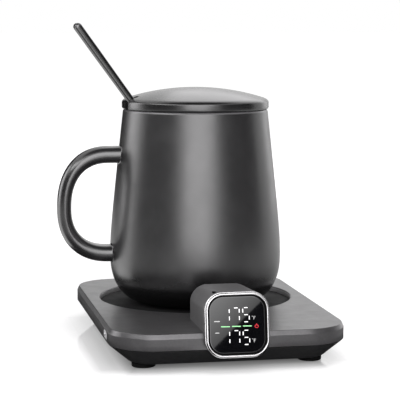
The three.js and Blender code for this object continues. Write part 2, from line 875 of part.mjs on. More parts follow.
function bottomShell() {
  const { halfWidth, halfDepth, cornerRadius } = base;
  const outline = (inset, z) => levelRing(halfWidth - inset, halfDepth - inset, cornerRadius - inset, z);
  const top = level.seam - fit.slide;
  const edge = shell.floor / 4;
  const tray = skin([
    outline(shell.taper + edge, level.shellBottom),
    outline(shellInset(level.shellBottom + edge), level.shellBottom + edge),
    outline(shellInset(top), top),
  ]);
  const tongueInset = base.wall + fit.slide;
  const tongueTop = level.seam + shell.tongueHeight;
  const tongue = skin([outline(tongueInset, top - edge), outline(tongueInset, tongueTop)]);
  const slope = Math.hypot(shell.taper, shell.drop) / shell.drop;
  const cavity = skin([
    outline(shellInset(level.shellFloor) + shell.wall * slope, level.shellFloor),
    outline(tongueInset + shell.tongueWall, top - edge),
    outline(tongueInset + shell.tongueWall, tongueTop + fit.overrun),
  ]);
  const posts = standoffPlaces.map(([x, y]) =>
    at(disc(standoff.radius, level.shellFloor - shell.floor / 2, boardBottom - fit.seat, round.screw), x, y));
  const podSeat = podScrewPlaces.map(([x, y]) =>
    at(screwBoss(level.shellFloor - shell.floor / 2, pod.frontZ - pod.halfSize - 2 * fit.slide), x, y));
  const heads = [...caseScrewPlaces, ...podScrewPlaces].map(([x, y]) => at(
    disc(screw.headRadius + fit.slide, level.shellBottom - fit.overrun, headTop, round.screw), x, y));
  const holes = [...caseScrewPlaces, ...podScrewPlaces].map(([x, y]) =>
    at(screwHole(level.shellBottom, 0), x, y));
  const recesses = signs.map(([sx, sy]) => at(disc(
    foot.radius + fit.slide,
    level.shellBottom - fit.overrun,
    level.shellBottom + foot.recess,
  ), sx * foot.x, sy * foot.y));
  const inletSpace = block(
    -halfWidth,
    -halfWidth + inlet.length,
    inlet.y - inlet.halfWidth - 2 * fit.slide,
    inlet.y + inlet.halfWidth + 2 * fit.slide,
    level.seam,
    0,
  );
  const body = join(cut(join(tray, tongue), cavity), ...posts, ...podSeat);
  return cut(body, podPrism(fit.slide, pod.rearY + fit.slide), inletSpace, ...heads, ...holes, ...recesses);
}

const headTop = headBottom + screw.headHeight + fit.seat;
const boardTop = inlet.z - inlet.halfHeight - fit.seat;
const boardBottom = boardTop - board.thickness;
const standoffPlaces = [
  [board.x0 + standoff.edgeInset, board.y1 - standoff.inset],
  [board.x1 - standoff.inset, board.y0 + standoff.edgeInset],
  [board.x1 - standoff.inset, board.y1 - standoff.inset],
];

// The control board follows the housing's rounded corner and goes round a screw boss
function controlBoard() {
  const { halfWidth, halfDepth, cornerRadius } = base;
  const halfX = (board.x1 - board.x0) / 2;
  const halfY = (board.y1 - board.y0) / 2;
  const slab = skin([boardBottom, boardTop].map((z) => levelRing(halfX, halfY, board.cornerRadius, z)));
  const room = skin([boardBottom, boardTop].map((z) => levelRing(
    halfWidth - board.edgeGap,
    halfDepth - board.edgeGap,
    cornerRadius - board.edgeGap,
    z,
  )));
  const hole = disc(boss.radius + board.bossGap, boardBottom - fit.overrun, boardTop + fit.overrun);
  const placed = at(slab, (board.x0 + board.x1) / 2, (board.y0 + board.y1) / 2);
  return cut(placed.intersect(room), at(hole, -caseScrew.x, -caseScrew.y));
}

function rubberFoot() {
  return revolve([
    [0, level.ground],
    [foot.radius - foot.round, level.ground],
    [foot.radius, level.ground + foot.round],
    [foot.radius, level.shellBottom + foot.recess - fit.seat],
    [0, level.shellBottom + foot.recess - fit.seat],
  ]);
}

function retainerPlate() {
  const body = disc(retainer.radius, level.retainerBottom, level.retainerTop, round.hidden);
  const ears = earPlaces.map(([x, y]) => {
    const dx = x / retainer.earReach;
    const dy = (y - well.centreY) / retainer.earReach;
    const angle = Math.atan2(dy, dx);
    const strap = block(
      retainer.radius - fit.overrun,
      retainer.earReach,
      -retainer.earRadius,
      retainer.earRadius,
      level.retainerBottom,
      level.retainerTop,
    );
    const end = at(disc(retainer.earRadius, level.retainerBottom, level.retainerTop), retainer.earReach, 0);
    return turned(join(strap, end), new THREE.Matrix4().makeRotationZ(angle));
  });
  const bore = disc(retainer.boreRadius, level.retainerBottom - fit.overrun, 0);
  const holes = earPlaces.map(([x, y]) => at(
    screwHole(level.retainerBottom - fit.overrun, 0), x, y - well.centreY));
  return cut(join(body, ...ears), bore, ...holes);
}

// The pieces, in the order that they stack

piece('mug_body', onPlate(mugBody()), finish.glaze);
piece('mug_handle', onPlate(mugHandle()), finish.glaze);
piece('lid', onRim(lidBody()), finish.glaze);
piece('lid_seal', onRim(lidSeal()), finish.silicone);
piece('spoon', onRim(spoonInMug()), finish.spoonBlack);

const inWell = (solid) => at(solid, 0, well.centreY);
const plateRadius = well.radius - fit.slide;

piece('deck_housing', deckHousing(), finish.deckGrey);
piece('heating_plate', inWell(disc(plateRadius, level.plateBottom, level.plateTop, round.plate)), finish.plateBlack);
piece('plate_gasket', inWell(ring(
  plateRadius - plate.gasketWidth,
  plateRadius,
  level.gasketBottom,
  level.plateBottom - fit.seat,
  round.hidden,
)), finish.silicone);
piece('heater_disc', inWell(ring(
  heater.boreRadius,
  heater.radius,
  level.heaterBottom,
  level.plateBottom - fit.seat,
  round.hidden,
)), finish.film);
piece('insulation_pad', inWell(ring(
  insulation.boreRadius,
  insulation.radius,
  level.insulationBottom,
  level.heaterBottom - fit.seat,
  round.hidden,
)), finish.mica);
piece('plate_retainer', inWell(retainerPlate()), finish.steel);
earPlaces.forEach(([x, y], i) => {
  const solid = screwSolid(retainerScrew.length);
  piece(`retainer_screw_${i + 1}`, at(
    solid, x, y, level.retainerBottom - fit.seat - screw.headHeight), finish.steel);
});

const sensorTop = level.plateBottom - fit.seat;
piece('temperature_sensor', inWell(at(
  disc(sensor.radius, sensorTop - sensor.height, sensorTop), -sensor.radius - fit.slide, 0,
)), finish.whitePlastic);
const fuseBody = turned(
  disc(fuse.radius, -fuse.length / 2, fuse.length / 2, round.screw),
  new THREE.Matrix4().makeRotationX(Math.PI / 2),
);
piece('thermal_fuse', inWell(at(
  fuseBody, fuse.radius + fit.slide + sensor.radius / 2, 0, sensorTop - fuse.radius,
)), finish.steel);

piece('bottom_shell', bottomShell(), finish.shellBlack);
['front_left', 'front_right', 'rear_left', 'rear_right'].forEach((where, i) => {
  const [sx, sy] = signs[i];
  piece(`foot_${where}`, at(rubberFoot(), sx * foot.x, sy * foot.y), finish.rubber);
});
caseScrewPlaces.forEach(([x, y], i) => {
  piece(`case_screw_${i + 1}`, at(screwSolid(caseScrew.length), x, y, headBottom), finish.steel);
});
podScrewPlaces.forEach(([x, y], i) => {
  piece(`pod_screw_${i + 1}`, at(screwSolid(podScrew.length), x, y, headBottom), finish.steel);
});

piece('pod_housing', podHousing(), finish.deckGrey);
piece('display_bezel', onFace(bezelRing()), finish.silver);
piece('display_lens', onFace(lensPane()), finish.lensBlack);
piece('display_light_guide', onFace(displayGuide()), finish.whitePlastic);
piece('display_board', onFace(displayBoardSolid()), finish.board);

piece('inlet_shell', atInlet(inletShell()), finish.steel);
piece('inlet_tongue', atInlet(inletTongue()), finish.plateBlack);
piece('control_board', controlBoard(), finish.board);

// The whole, standing on z = 0 with the origin under the middle of its box

const assembly = new THREE.Group();
assembly.name = 'self_heating_mug';
assembly.add(...meshes);
const bounds = new THREE.Box3().setFromObject(assembly);
const middle = bounds.getCenter(new THREE.Vector3());
assembly.position.set(-middle.x, -middle.y, -bounds.min.z);

export default assembly;
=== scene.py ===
"""Self heating mug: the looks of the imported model, in metres and in its own frame."""

import math

import bmesh
import bpy
from mathutils import Matrix, Vector


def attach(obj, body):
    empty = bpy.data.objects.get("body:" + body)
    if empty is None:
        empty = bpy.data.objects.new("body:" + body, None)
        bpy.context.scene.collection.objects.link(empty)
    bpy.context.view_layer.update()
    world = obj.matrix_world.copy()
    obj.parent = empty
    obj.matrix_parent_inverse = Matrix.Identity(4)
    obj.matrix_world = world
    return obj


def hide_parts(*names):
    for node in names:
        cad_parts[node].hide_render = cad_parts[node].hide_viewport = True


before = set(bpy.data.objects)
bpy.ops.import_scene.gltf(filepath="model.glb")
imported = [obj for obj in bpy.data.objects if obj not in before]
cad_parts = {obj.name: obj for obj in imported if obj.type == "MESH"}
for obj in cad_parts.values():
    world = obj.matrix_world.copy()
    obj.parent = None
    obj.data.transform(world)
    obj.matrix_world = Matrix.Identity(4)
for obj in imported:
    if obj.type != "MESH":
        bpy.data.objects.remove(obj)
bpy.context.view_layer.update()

# Shapes are in millimetres from the middle of the deck's top face, which is DECK in the model's frame.
# The lamps, the cards and the heights in materials are in metres in the model's frame.

MM = 0.001
DECK = Vector((7.55, 3.0995, 18.6))
GROUND = -18.6

# Helpers for shapes

WELD_DISTANCE, SLIVER = 2e-7, 1e-7


def clean(mesh, sharp):
    """Merges doubled points, turns faces outwards and shades them smooth up to an angle in degrees."""
    bm = bmesh.new()
    bm.from_mesh(mesh)
    bmesh.ops.remove_doubles(bm, verts=bm.verts, dist=WELD_DISTANCE)
    bmesh.ops.dissolve_degenerate(bm, dist=SLIVER, edges=bm.edges)
    bmesh.ops.recalc_face_normals(bm, faces=bm.faces)
    bm.to_mesh(mesh)
    bm.free()
    mesh.shade_smooth()
    mesh.set_sharp_from_angle(angle=math.radians(sharp))


def raw(name, verts, faces, sharp=32.0):
    """An object from points in the deck's frame."""
    mesh = bpy.data.meshes.new(name)
    mesh.from_pydata([(Vector(v) + DECK) * MM for v in verts], [], faces)
    clean(mesh, sharp)
    obj = bpy.data.objects.new(name, mesh)
    bpy.context.scene.collection.objects.link(obj)
    return obj


def dress(obj, look, body, slot, *nodes):
    """Gives a piece its look and body, and hides the CAD nodes that it replaces; the slot is not used."""
    obj.data.materials.clear()
    obj.data.materials.append(look.material)
    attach(obj, body)
    if nodes:
        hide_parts(*nodes)


def carve(obj, *cutters, sharp):
    """Cuts the cutters out of the object and applies the result."""
    for cutter in cutters:
        cut = obj.modifiers.new("cut", "BOOLEAN")
        cut.operation = "DIFFERENCE"
        cut.solver = "EXACT"
        cut.object = cutter
    bpy.context.view_layer.update()
    evaluated = obj.evaluated_get(bpy.context.evaluated_depsgraph_get())
    result = bpy.data.meshes.new_from_object(evaluated)
    obj.modifiers.clear()
    obj.data = result
    clean(result, sharp)
    for cutter in cutters:
        bpy.data.objects.remove(cutter)
    return obj


def loft(rings, closed=False, caps=False):
    """Points and faces of a skin over rings that have the same count of points."""
    count = len(rings[0])
    verts = [point for ring in rings for point in ring]
    faces = []
    for r in range(len(rings) if closed else len(rings) - 1):
        a, b = r * count, (r + 1) % len(rings) * count
        for i in range(count):
            j = (i + 1) % count
            faces.append((a + i, a + j, b + j, b + i))
    if caps:
        faces.append(tuple(range(count))[::-1])
        faces.append(tuple(range((len(rings) - 1) * count, len(rings) * count)))
    return verts, faces


def joined(*shapes):
    verts, faces = [], []
    for more_verts, more_faces in shapes:
        faces += [tuple(i + len(verts) for i in face) for face in more_faces]
        verts += more_verts
    return verts, faces


def arc(x, y, radius, start, end, steps):
    """Points on a circle about x, y, from one angle in degrees to another."""
    turns = [math.radians(start + (end - start) * i / steps) for i in range(steps + 1)]
    return [(x + radius * math.cos(t), y + radius * math.sin(t)) for t in turns]


def lathe(profile, middle, segments, closed=False):
    """A profile of radius and height, turned about an upright axis through the middle."""
    x, y, z = middle
    rings = []
    for radius, height in profile:
        rings.append([(u, v, z + height) for u, v in arc(x, y, radius, 0, 360, segments)[:-1]])
    return loft(rings, closed=closed)


def bezier(points, steps):
    out = []
    for i in range(steps + 1):
        row = [Vector(point) for point in points]
        while len(row) > 1:
            row = [a.lerp(b, i / steps) for a, b in zip(row, row[1:])]
        out.append(tuple(row[0]))
    return out


def rounded(half_x, half_y, radius, steps):
    """A rounded rectangle, counter-clockwise."""
    radius = min(radius, half_x, half_y)
    out = []
    for quarter, (sx, sy) in enumerate(((1, 1), (-1, 1), (-1, -1), (1, -1))):
        start = 90 * quarter
        out += arc(sx * (half_x - radius), sy * (half_y - radius), radius, start, start + 90, steps)
    return out


def signed_power(value, power):
    return math.copysign(abs(value) ** power, value)


def full_turn(count):
    return [2 * math.pi * i / count for i in range(count)]


# Materials

COAT_ROUGHNESS = 0.1
UNLIT_SHARE = 0.6
NOISE_MIDDLE, WORN_EDGE = (0.3, 0.7), (0.52, 0.62)
MOTTLE_DETAIL, ROUGHNESS_DETAIL, RELIEF_DETAIL = 4.0, 3.0, 2.0


class Nodes:
    """Short ways to add nodes to a tree and link them."""

    def __init__(self, tree):
        self.tree = tree

    def feed(self, node, inputs):
        """Links each input to an output, or gives it a plain value."""
        for key, value in inputs.items():
            if isinstance(value, bpy.types.NodeSocket):
                self.tree.links.new(value, node.inputs[key])
            else:
                node.inputs[key].default_value = value

    def node(self, kind, inputs=None, **settings):
        node = self.tree.nodes.new("ShaderNode" + kind)
        for key, value in settings.items():
            setattr(node, key, value)
        self.feed(node, inputs or {})
        return node

    def maths(self, kind, one, other):
        return self.node("Math", {0: one, 1: other}, operation=kind).outputs[0]

    def ranged(self, value, low, high, from_low, from_high):
        """A value brought from one range to another and held at the ends."""
        limits = {"From Min": from_low, "From Max": from_high, "To Min": low, "To Max": high}
        return self.node("MapRange", {"Value": value, **limits}).outputs["Result"]

    def place(self):
        return self.node("TexCoord").outputs["Object"]

    def seen(self):
        """One where the camera, gloss or a clear piece looks, and nought for soft light."""
        path = self.node("LightPath").outputs
        direct = self.maths("MAXIMUM", path["Is Camera Ray"], path["Is Glossy Ray"])
        return self.maths("MAXIMUM", direct, path["Is Transmission Ray"])


class Look(Nodes):
    """A procedural material: colour, roughness and relief come from noise in the object's own space."""

    def __init__(self, name, colour, roughness, metallic=0.0, ior=1.5, coat=0.0):
        self.material = bpy.data.materials.new(name)
        self.material.use_nodes = True
        super().__init__(self.material.node_tree)
        self.shader = self.tree.nodes["Principled BSDF"]
        self.colour, self.roughness = colour, roughness
        self.feed(self.shader, {
            "Base Color": (*colour, 1), "Roughness": roughness, "Metallic": metallic, "IOR": ior,
            "Coat Weight": coat, "Coat Roughness": COAT_ROUGHNESS,
        })
        self.where = self.place()

    def noise(self, scale, detail, stretch=None):
        where = self.where
        if stretch:
            where = self.node("Mapping", {"Vector": where, "Scale": stretch}).outputs["Vector"]
        return self.node("TexNoise", {"Scale": scale, "Detail": detail, "Vector": where}).outputs["Fac"]

    def spread(self, noise, low, high):
        """Noise keeps near its middle, so that part of it is brought to the whole range."""
        return self.ranged(noise, low, high, *NOISE_MIDDLE)

    def mixed(self, one, other, share):
        return self.node("Mix", {0: share, 6: one, 7: other}, data_type="RGBA").outputs[2]

    def by_height(self, low, high, below, above):
        """One share up to a height in metres and another from a second height on."""
        height = self.node("SeparateXYZ", {0: self.where}).outputs["Z"]
        return self.ranged(height, below, above, low, high)

    def mottle(self, scale, amount, wear=0.0, wear_colour=None):
        """Uneven colour, and another colour worn into the edges that stand out."""
        darker = (*(c * (1 - amount) for c in self.colour), 1)
        paler = (*(min(1, c * (1 + amount)) for c in self.colour), 1)
        colour = self.mixed(darker, paler, self.spread(self.noise(scale, MOTTLE_DETAIL), 0, 1))
        if wear:
            edge = self.node("NewGeometry").outputs["Pointiness"]
            colour = self.mixed(colour, (*wear_colour, 1), self.ranged(edge, 0, wear, *WORN_EDGE))
        self.feed(self.shader, {"Base Color": colour})
        return self

    def uneven(self, scale, amount, stretch=None):
        """Roughness that goes up and down by an amount."""
        noise = self.noise(scale, ROUGHNESS_DETAIL, stretch)
        rough = self.spread(noise, self.roughness - amount, self.roughness + amount)
        self.feed(self.shader, {"Roughness": rough})
        return self

    def relief(self, scale, height_mm, stretch=None):
        """Fine bumps of a height in millimetres."""
        height = self.noise(scale, RELIEF_DETAIL, stretch)
        bump = self.node("Bump", {"Strength": 1.0, "Distance": height_mm * MM, "Height": height})
        self.feed(self.shader, {"Normal": bump.outputs["Normal"]})
        return self

    def painted_light_by_height(self, low, high, below, above=1.0):
        """The colour is scaled by height: painted shade where the share is under one, painted light where it
        is over one.
        """
        colour = self.shader.inputs["Base Color"].links[0].from_socket
        share = self.by_height(low, high, below, above)
        scaled = self.node("VectorMath", {0: colour, "Scale": share}, operation="SCALE")
        self.feed(self.shader, {"Base Color": scaled.outputs[0]})
        return self

    def finer_below(self, low, high, share):
        """The surface gets smoother from one height down to another."""
        rough = self.shader.inputs["Roughness"].links[0].from_socket
        smoother = self.maths("MULTIPLY", rough, self.by_height(low, high, share, 1.0))
        self.feed(self.shader, {"Roughness": smoother})
        return self

    def glow(self, colour, strength):
        self.feed(self.shader, {"Emission Color": (*colour, 1), "Emission Strength": strength})
        return self


GLAZE_BLACK, GLAZE_WORN, LID_WORN = (0.021, 0.0205, 0.0215), (0.07, 0.07, 0.07), (0.06, 0.06, 0.06)
# Heights in metres: painted shade on the mug's foot, a finer foot, and a painted highlight on the lip's top.
FOOT_SHADE, FOOT_FINE, LIP_PAINTED_HIGHLIGHT = (0.022, 0.04), (0.02, 0.04), (0.1161, 0.1164)

GLAZE = Look("dark_glaze", GLAZE_BLACK, 0.33, ior=1.8).mottle(220, 0.10, 0.25, GLAZE_WORN).uneven(90, 0.03)
# The glaze is painted darker at the foot (painted shade) and paler on the lip's top (painted highlight).
GLAZE.finer_below(*FOOT_FINE, 0.62).painted_light_by_height(*FOOT_SHADE, 0.12).painted_light_by_height(*LIP_PAINTED_HIGHLIGHT, 1.0, 4.5).relief(700, 0.004)
GRIP_GLAZE = Look("dark_glaze_grip", GLAZE_BLACK, 0.24, ior=1.8)
GRIP_GLAZE.mottle(220, 0.10, 0.25, GLAZE_WORN).uneven(90, 0.03).relief(700, 0.0025)
LID_GLAZE = Look("dark_glaze_lid", (0.011, 0.0108, 0.0112), 0.26, ior=1.75)
LID_GLAZE.mottle(220, 0.10, 0.25, LID_WORN).uneven(60, 0.02).relief(500, 0.0015)
SPOON_BLACK = Look("black_enamel", (0.008, 0.008, 0.0083), 0.2, ior=1.9)
SPOON_BLACK.mottle(300, 0.2, 0.15, (0.04, 0.04, 0.04)).uneven(400, 0.03, (1, 1, 0.2)).relief(1500, 0.002)
DECK_GREY = Look("satin_grey_metal", (0.085, 0.083, 0.086), 0.33, metallic=0.35, ior=1.65)
DECK_GREY.mottle(900, 0.08).uneven(140, 0.03).relief(1600, 0.003)
# The pod has the deck's grey made paler: painted light on the pod.
POD_GREY_PAINTED_LIGHTER = Look("satin_grey_pod_painted_lighter", (0.16, 0.157, 0.161), 0.36, metallic=0.2)
POD_GREY_PAINTED_LIGHTER.mottle(900, 0.08).uneven(140, 0.03).relief(1600, 0.003)
# A pale band on the well's wall: painted light over the wall's shade.
WELL_WALL_LIGHT = Look("well_wall_painted_light", (0.34, 0.335, 0.34), 0.6, ior=1.3)
WELL_WALL_LIGHT.mottle(260, 0.1).uneven(120, 0.06).relief(2200, 0.005)
PLATE_BLACK = Look("matte_black_plate", (0.012, 0.012, 0.0125), 0.78, ior=1.29)
PLATE_BLACK.mottle(260, 0.12).uneven(120, 0.06).relief(2200, 0.01)
SHELL_BLACK = Look("fine_black_moulding", (0.022, 0.022, 0.023), 0.46)
SHELL_BLACK.mottle(900, 0.15, 0.2, (0.03, 0.03, 0.03)).uneven(300, 0.06).relief(1700, 0.015)
RUBBER = Look("matte_rubber", (0.006, 0.006, 0.006), 0.8, ior=1.15)
RUBBER.mottle(700, 0.2).uneven(400, 0.08).relief(1200, 0.02)
SILICONE = Look("dark_silicone", (0.02, 0.02, 0.021), 0.6)
SILICONE.mottle(400, 0.12).uneven(200, 0.08).relief(900, 0.01)
SILVER = Look("bright_silver_plate", (0.53, 0.525, 0.53), 0.25, metallic=1.0)
SILVER.mottle(200, 0.03).uneven(200, 0.02).relief(600, 0.0003)
GLASS = Look("black_glass", (0.004, 0.004, 0.005), 0.02, ior=1.6)
GLASS.mottle(120, 0.2).uneven(60, 0.006).relief(400, 0.0004)
STEEL = Look("brushed_steel", (0.55, 0.55, 0.56), 0.3, metallic=1.0)
STEEL.mottle(300, 0.06, 0.2, (0.8, 0.8, 0.8)).uneven(900, 0.08, (1, 1, 8)).relief(2500, 0.004, (1, 1, 8))
PORT_STEEL = Look("bright_port_steel", (0.9, 0.9, 0.91), 0.5, metallic=0.5)
PORT_STEEL.mottle(300, 0.05).uneven(900, 0.05).relief(1500, 0.002)
BOARD = Look("green_solder_mask", (0.012, 0.07, 0.025), 0.45, coat=0.3)
BOARD.mottle(420, 0.35).uneven(300, 0.1).relief(600, 0.03, (1, 3, 1))
WHITE = Look("white_plastic", (0.78, 0.78, 0.75), 0.5).mottle(300, 0.05).uneven(200, 0.06).relief(900, 0.01)
TONGUE = Look("dark_plastic", (0.025, 0.024, 0.026), 0.5).mottle(300, 0.1).uneven(200, 0.06).relief(900, 0.01)
MICA = Look("mineral_board", (0.5, 0.44, 0.32), 0.75).mottle(500, 0.25).uneven(250, 0.1).relief(700, 0.04)
FILM = Look("amber_film", (0.25, 0.11, 0.03), 0.4, coat=0.4)
FILM.mottle(200, 0.2).uneven(200, 0.08).relief(450, 0.03, (1, 4, 1))
# Near black that paints the shade in the pod's slit and in the display's gaps.
RECESS_SHADE = Look("painted_recess_shade", (0.004, 0.004, 0.004), 0.7, ior=1.1)
RECESS_SHADE.mottle(500, 0.2).uneven(300, 0.05).relief(900, 0.01)


def glowing(name, colour, strength):
    """A display's mark, whose own colour is duller than its light."""
    look = Look(name, tuple(c * UNLIT_SHARE for c in colour), 0.5).uneven(300, 0.05).relief(900, 0.002)
    return look.glow(colour, strength)


LIT_WHITE = glowing("lit_white", (1.0, 1.0, 1.0), 0.95)
LIT_SOFT = glowing("lit_soft_white", (0.8, 0.8, 0.8), 0.35)
LIT_UNIT = glowing("lit_unit_white", (0.9, 0.9, 0.9), 0.6)
LIT_GREEN = glowing("lit_green", (0.35, 0.8, 0.38), 0.75)
LIT_RED = glowing("lit_red", (0.85, 0.03, 0.05), 0.7)

# Mug: its axis is MUG_Y behind the deck's middle, it stands at MUG_FOOT, and the lid rests at MUG_RIM

MUG_Y, MUG_FOOT, MUG_RIM = 19.5, -2.4, 98.6
MUG_TURNS = 176
FOOT_RADIUS, FOOT_PULL = 26.0, 32.5
BELLY_RADIUS, BELLY_HEIGHT, BELLY_PULL_LOW, BELLY_PULL_HIGH = 44.65, 24.4, 3.9, 34.9
NECK_RADIUS, NECK_HEIGHT = 44.2, 41.4
WALL_TOP_RADIUS, WALL_TOP_HEIGHT = 37.8, 99.4
LIP_OUTSIDE, LIP_INSIDE = (36.8, 100.3, 0.7), (36.2, WALL_TOP_HEIGHT, 1.6)
MUG_WALL, MUG_HEEL, MUG_FLOOR = 3.2, 1.6, 5.0


def mug_curve(wall, heel, floor, steps):
    """The mug's side from its foot to its lip, outside or set in by a wall, a heel and a floor."""
    belly = BELLY_RADIUS - wall
    share = (BELLY_HEIGHT - floor) / BELLY_HEIGHT
    pull = BELLY_HEIGHT - (BELLY_HEIGHT - BELLY_PULL_LOW) * share
    low = ((FOOT_RADIUS - heel, floor), (FOOT_PULL - heel, floor), (belly, pull), (belly, BELLY_HEIGHT))
    high = ((belly, BELLY_HEIGHT), (belly, BELLY_PULL_HIGH), (NECK_RADIUS - wall, NECK_HEIGHT),
            (WALL_TOP_RADIUS - wall, WALL_TOP_HEIGHT))
    return bezier(low, steps) + bezier(high, steps)[1:]


MUG_OUTSIDE = mug_curve(0.0, 0.0, 0.0, 30)


def mug_radius(height):
    """The outside's radius at a height over the mug's foot."""
    for (r0, h0), (r1, h1) in zip(MUG_OUTSIDE, MUG_OUTSIDE[1:]):
        if h0 <= height <= h1:
            return r0 + (r1 - r0) * (height - h0) / (h1 - h0)
    return WALL_TOP_RADIUS


def make_mug():
    foot = [(0, 1.3), (20.8, 1.3), (21.6, 1.15), (22.3, 0.5), (22.7, 0.12), (23.1, 0.0)]
    lip = [(37.73, 99.95), (37.68, 100.12), (37.44, 100.5)] + arc(*LIP_OUTSIDE, 33.75, 90, 5)
    lip += arc(*LIP_INSIDE, 101.25, 168.75, 6)
    inside = mug_curve(MUG_WALL, MUG_HEEL, MUG_FLOOR, 20)[::-1] + [(12.0, MUG_FLOOR), (0.0, MUG_FLOOR)]
    return raw("mug_shell", *lathe(foot + MUG_OUTSIDE + lip + inside, (0, MUG_Y, MUG_FOOT), MUG_TURNS))


def make_handle():
    """An oval section along two arms and a bow, with a small collar where each arm meets the wall."""
    arm_reach, bow_reach, bow_height, bow_power = 46.0, 68.9, 50.0, 0.87
    upper, lower, collar, sunk = 77.7, 26.4, 0.7, 0.9
    arm_section, bow_section = (4.45, 6.2, 0.85), (3.7, 5.5, 1.07)
    run = bow_reach - arm_reach
    steps = 30

    def section(share):
        """Half the height, half the depth and the squareness go from the arm's to the bow's."""
        half, depth, power = (arm + (bow - arm) * share for arm, bow in zip(arm_section, bow_section))
        return [(half * signed_power(math.cos(t), power), depth * signed_power(math.sin(t), power))
                for t in full_turn(48)]

    def root(height, turn):
        """Rings from the arm's end over its collar to a place inside the wall."""
        rings = [[(-arm_reach, v, height + turn * u) for u, v in section(0.0)]]
        for grow, away in arc(collar, collar, collar, 180, 270, 5) + [(collar, -sunk)]:
            ring = []
            for u, v in section(0.0):
                spread = 1 + grow / math.hypot(u, v)
                z = height + turn * u * spread
                wall = math.sqrt(mug_radius(z) ** 2 - (v * spread) ** 2)
                ring.append((-wall - away, v * spread, z))
            rings.append(ring)
        return rings

    rings = root(lower, 1)[::-1]
    for arm, turn, places in ((lower, 1, range(1, steps + 1)), (upper, -1, range(steps - 1, 0, -1))):
        rise = arm - bow_height
        for i in places:
            angle = math.pi / 2 * i / steps
            cos, sin = max(math.cos(angle), 0.0), math.sin(angle)
            tx, tz = -run * cos ** (2 - bow_power) * turn, -rise * sin ** (2 - bow_power) * turn
            size = math.hypot(tx, tz)
            x, z = -arm_reach - run * sin ** bow_power, bow_height + rise * cos ** bow_power
            rings.append([(x + tz / size * u, v, z - tx / size * u) for u, v in section(sin ** 2)])
    rings += root(upper, -1)
    rings = [[(x, y + MUG_Y, z + MUG_FOOT) for x, y, z in ring] for ring in rings]
    return raw("mug_grip", *loft(rings, caps=True))


dress(make_mug(), GLAZE, "mug", "glaze", "mug_body")
dress(make_handle(), GRIP_GLAZE, "mug", "glaze", "mug_handle")

# Lid, with a notch that the spoon leaves by

NOTCH_TURN = math.radians(10.9)
NOTCH_HALF, NOTCH_OPEN = 2.75, 45.0
NOTCH_ABOVE, NOTCH_BELOW = (31.0, -0.02, 20.0), (25.7, -12.0, 3.0)
LID_RADIUS, LID_SHOULDER, LID_THICKNESS = 38.25, 35.3, 2.4
DOME_RADIUS, DOME_TOP = 120.0, 11.2
BAND_TOP, BAND_MIDDLE, BAND_BOTTOM, BAND_EDGE = 3.4, 2.2, 0.1, 1.0
SKIRT_RADIUS, SKIRT_INSIDE = 33.2, 31.2


def notch_cutter(inner, low, high):
    """A slot with a round inner end, open to the outside."""
    shape = [(-NOTCH_OPEN, NOTCH_HALF), (-NOTCH_OPEN, -NOTCH_HALF)]
    shape += arc(-inner - NOTCH_HALF, 0.0, NOTCH_HALF, -90, 90, 16)
    turn = Matrix.Rotation(NOTCH_TURN, 3, "Z")
    rings = []
    for z in (low, high):
        middle = Vector((0, MUG_Y, MUG_RIM + z))
        rings.append([tuple(turn @ Vector((x, y, 0)) + middle) for x, y in shape])
    return raw("cutter", *loft(rings, caps=True))


def dome(radius, inset=0.0):
    """The height of the dome, or of its underside, at a distance from the axis."""
    size = DOME_RADIUS - inset
    return DOME_TOP - inset - size + math.sqrt(size * size - radius * radius)


def make_lid():
    top = [(LID_SHOULDER * i / 26, dome(LID_SHOULDER * i / 26)) for i in range(27)]
    top += bezier((top[-1], (LID_RADIUS, dome(LID_RADIUS)), (LID_RADIUS, BAND_TOP)), 18)[1:]
    band = [(LID_RADIUS, BAND_MIDDLE)]
    band += arc(LID_RADIUS - BAND_EDGE, BAND_BOTTOM + BAND_EDGE, BAND_EDGE, 0, -90, 9)
    skirt = [(SKIRT_RADIUS, BAND_BOTTOM), (SKIRT_RADIUS, -7.4), (33.0, -7.85), (32.6, -8.0), (31.8, -8.0),
             (31.3, -7.8), (SKIRT_INSIDE, -7.4)]
    under = [(SKIRT_INSIDE * i / 14, dome(SKIRT_INSIDE * i / 14, LID_THICKNESS)) for i in range(14, -1, -1)]
    lid = raw("lid_shell", *lathe(top + band + skirt + under, (0, MUG_Y, MUG_RIM), MUG_TURNS))
    return carve(lid, notch_cutter(*NOTCH_ABOVE), notch_cutter(*NOTCH_BELOW), sharp=32.0)


dress(make_lid(), LID_GLAZE, "lid", "glaze", "lid")

# Spoon

SPOON_LENGTH, SPOON_TOP = 168.0, 51.0
SPOON_LEAN = math.radians(36.9)
SPOON_PLACE = (-34.4, 0, 3.3)
BOWL_HALF_LENGTH, BOWL_HALF_WIDTH, BOWL_DEPTH, BOWL_THICKNESS = 19.0, 12.5, 5.2, 0.9
SHAFT_SQUARE = (0.55, 0.6)
TIP_START, TIP_LENGTH, TIP_HALF, TIP_THICK = 165.9, 2.0, 2.4, 1.98


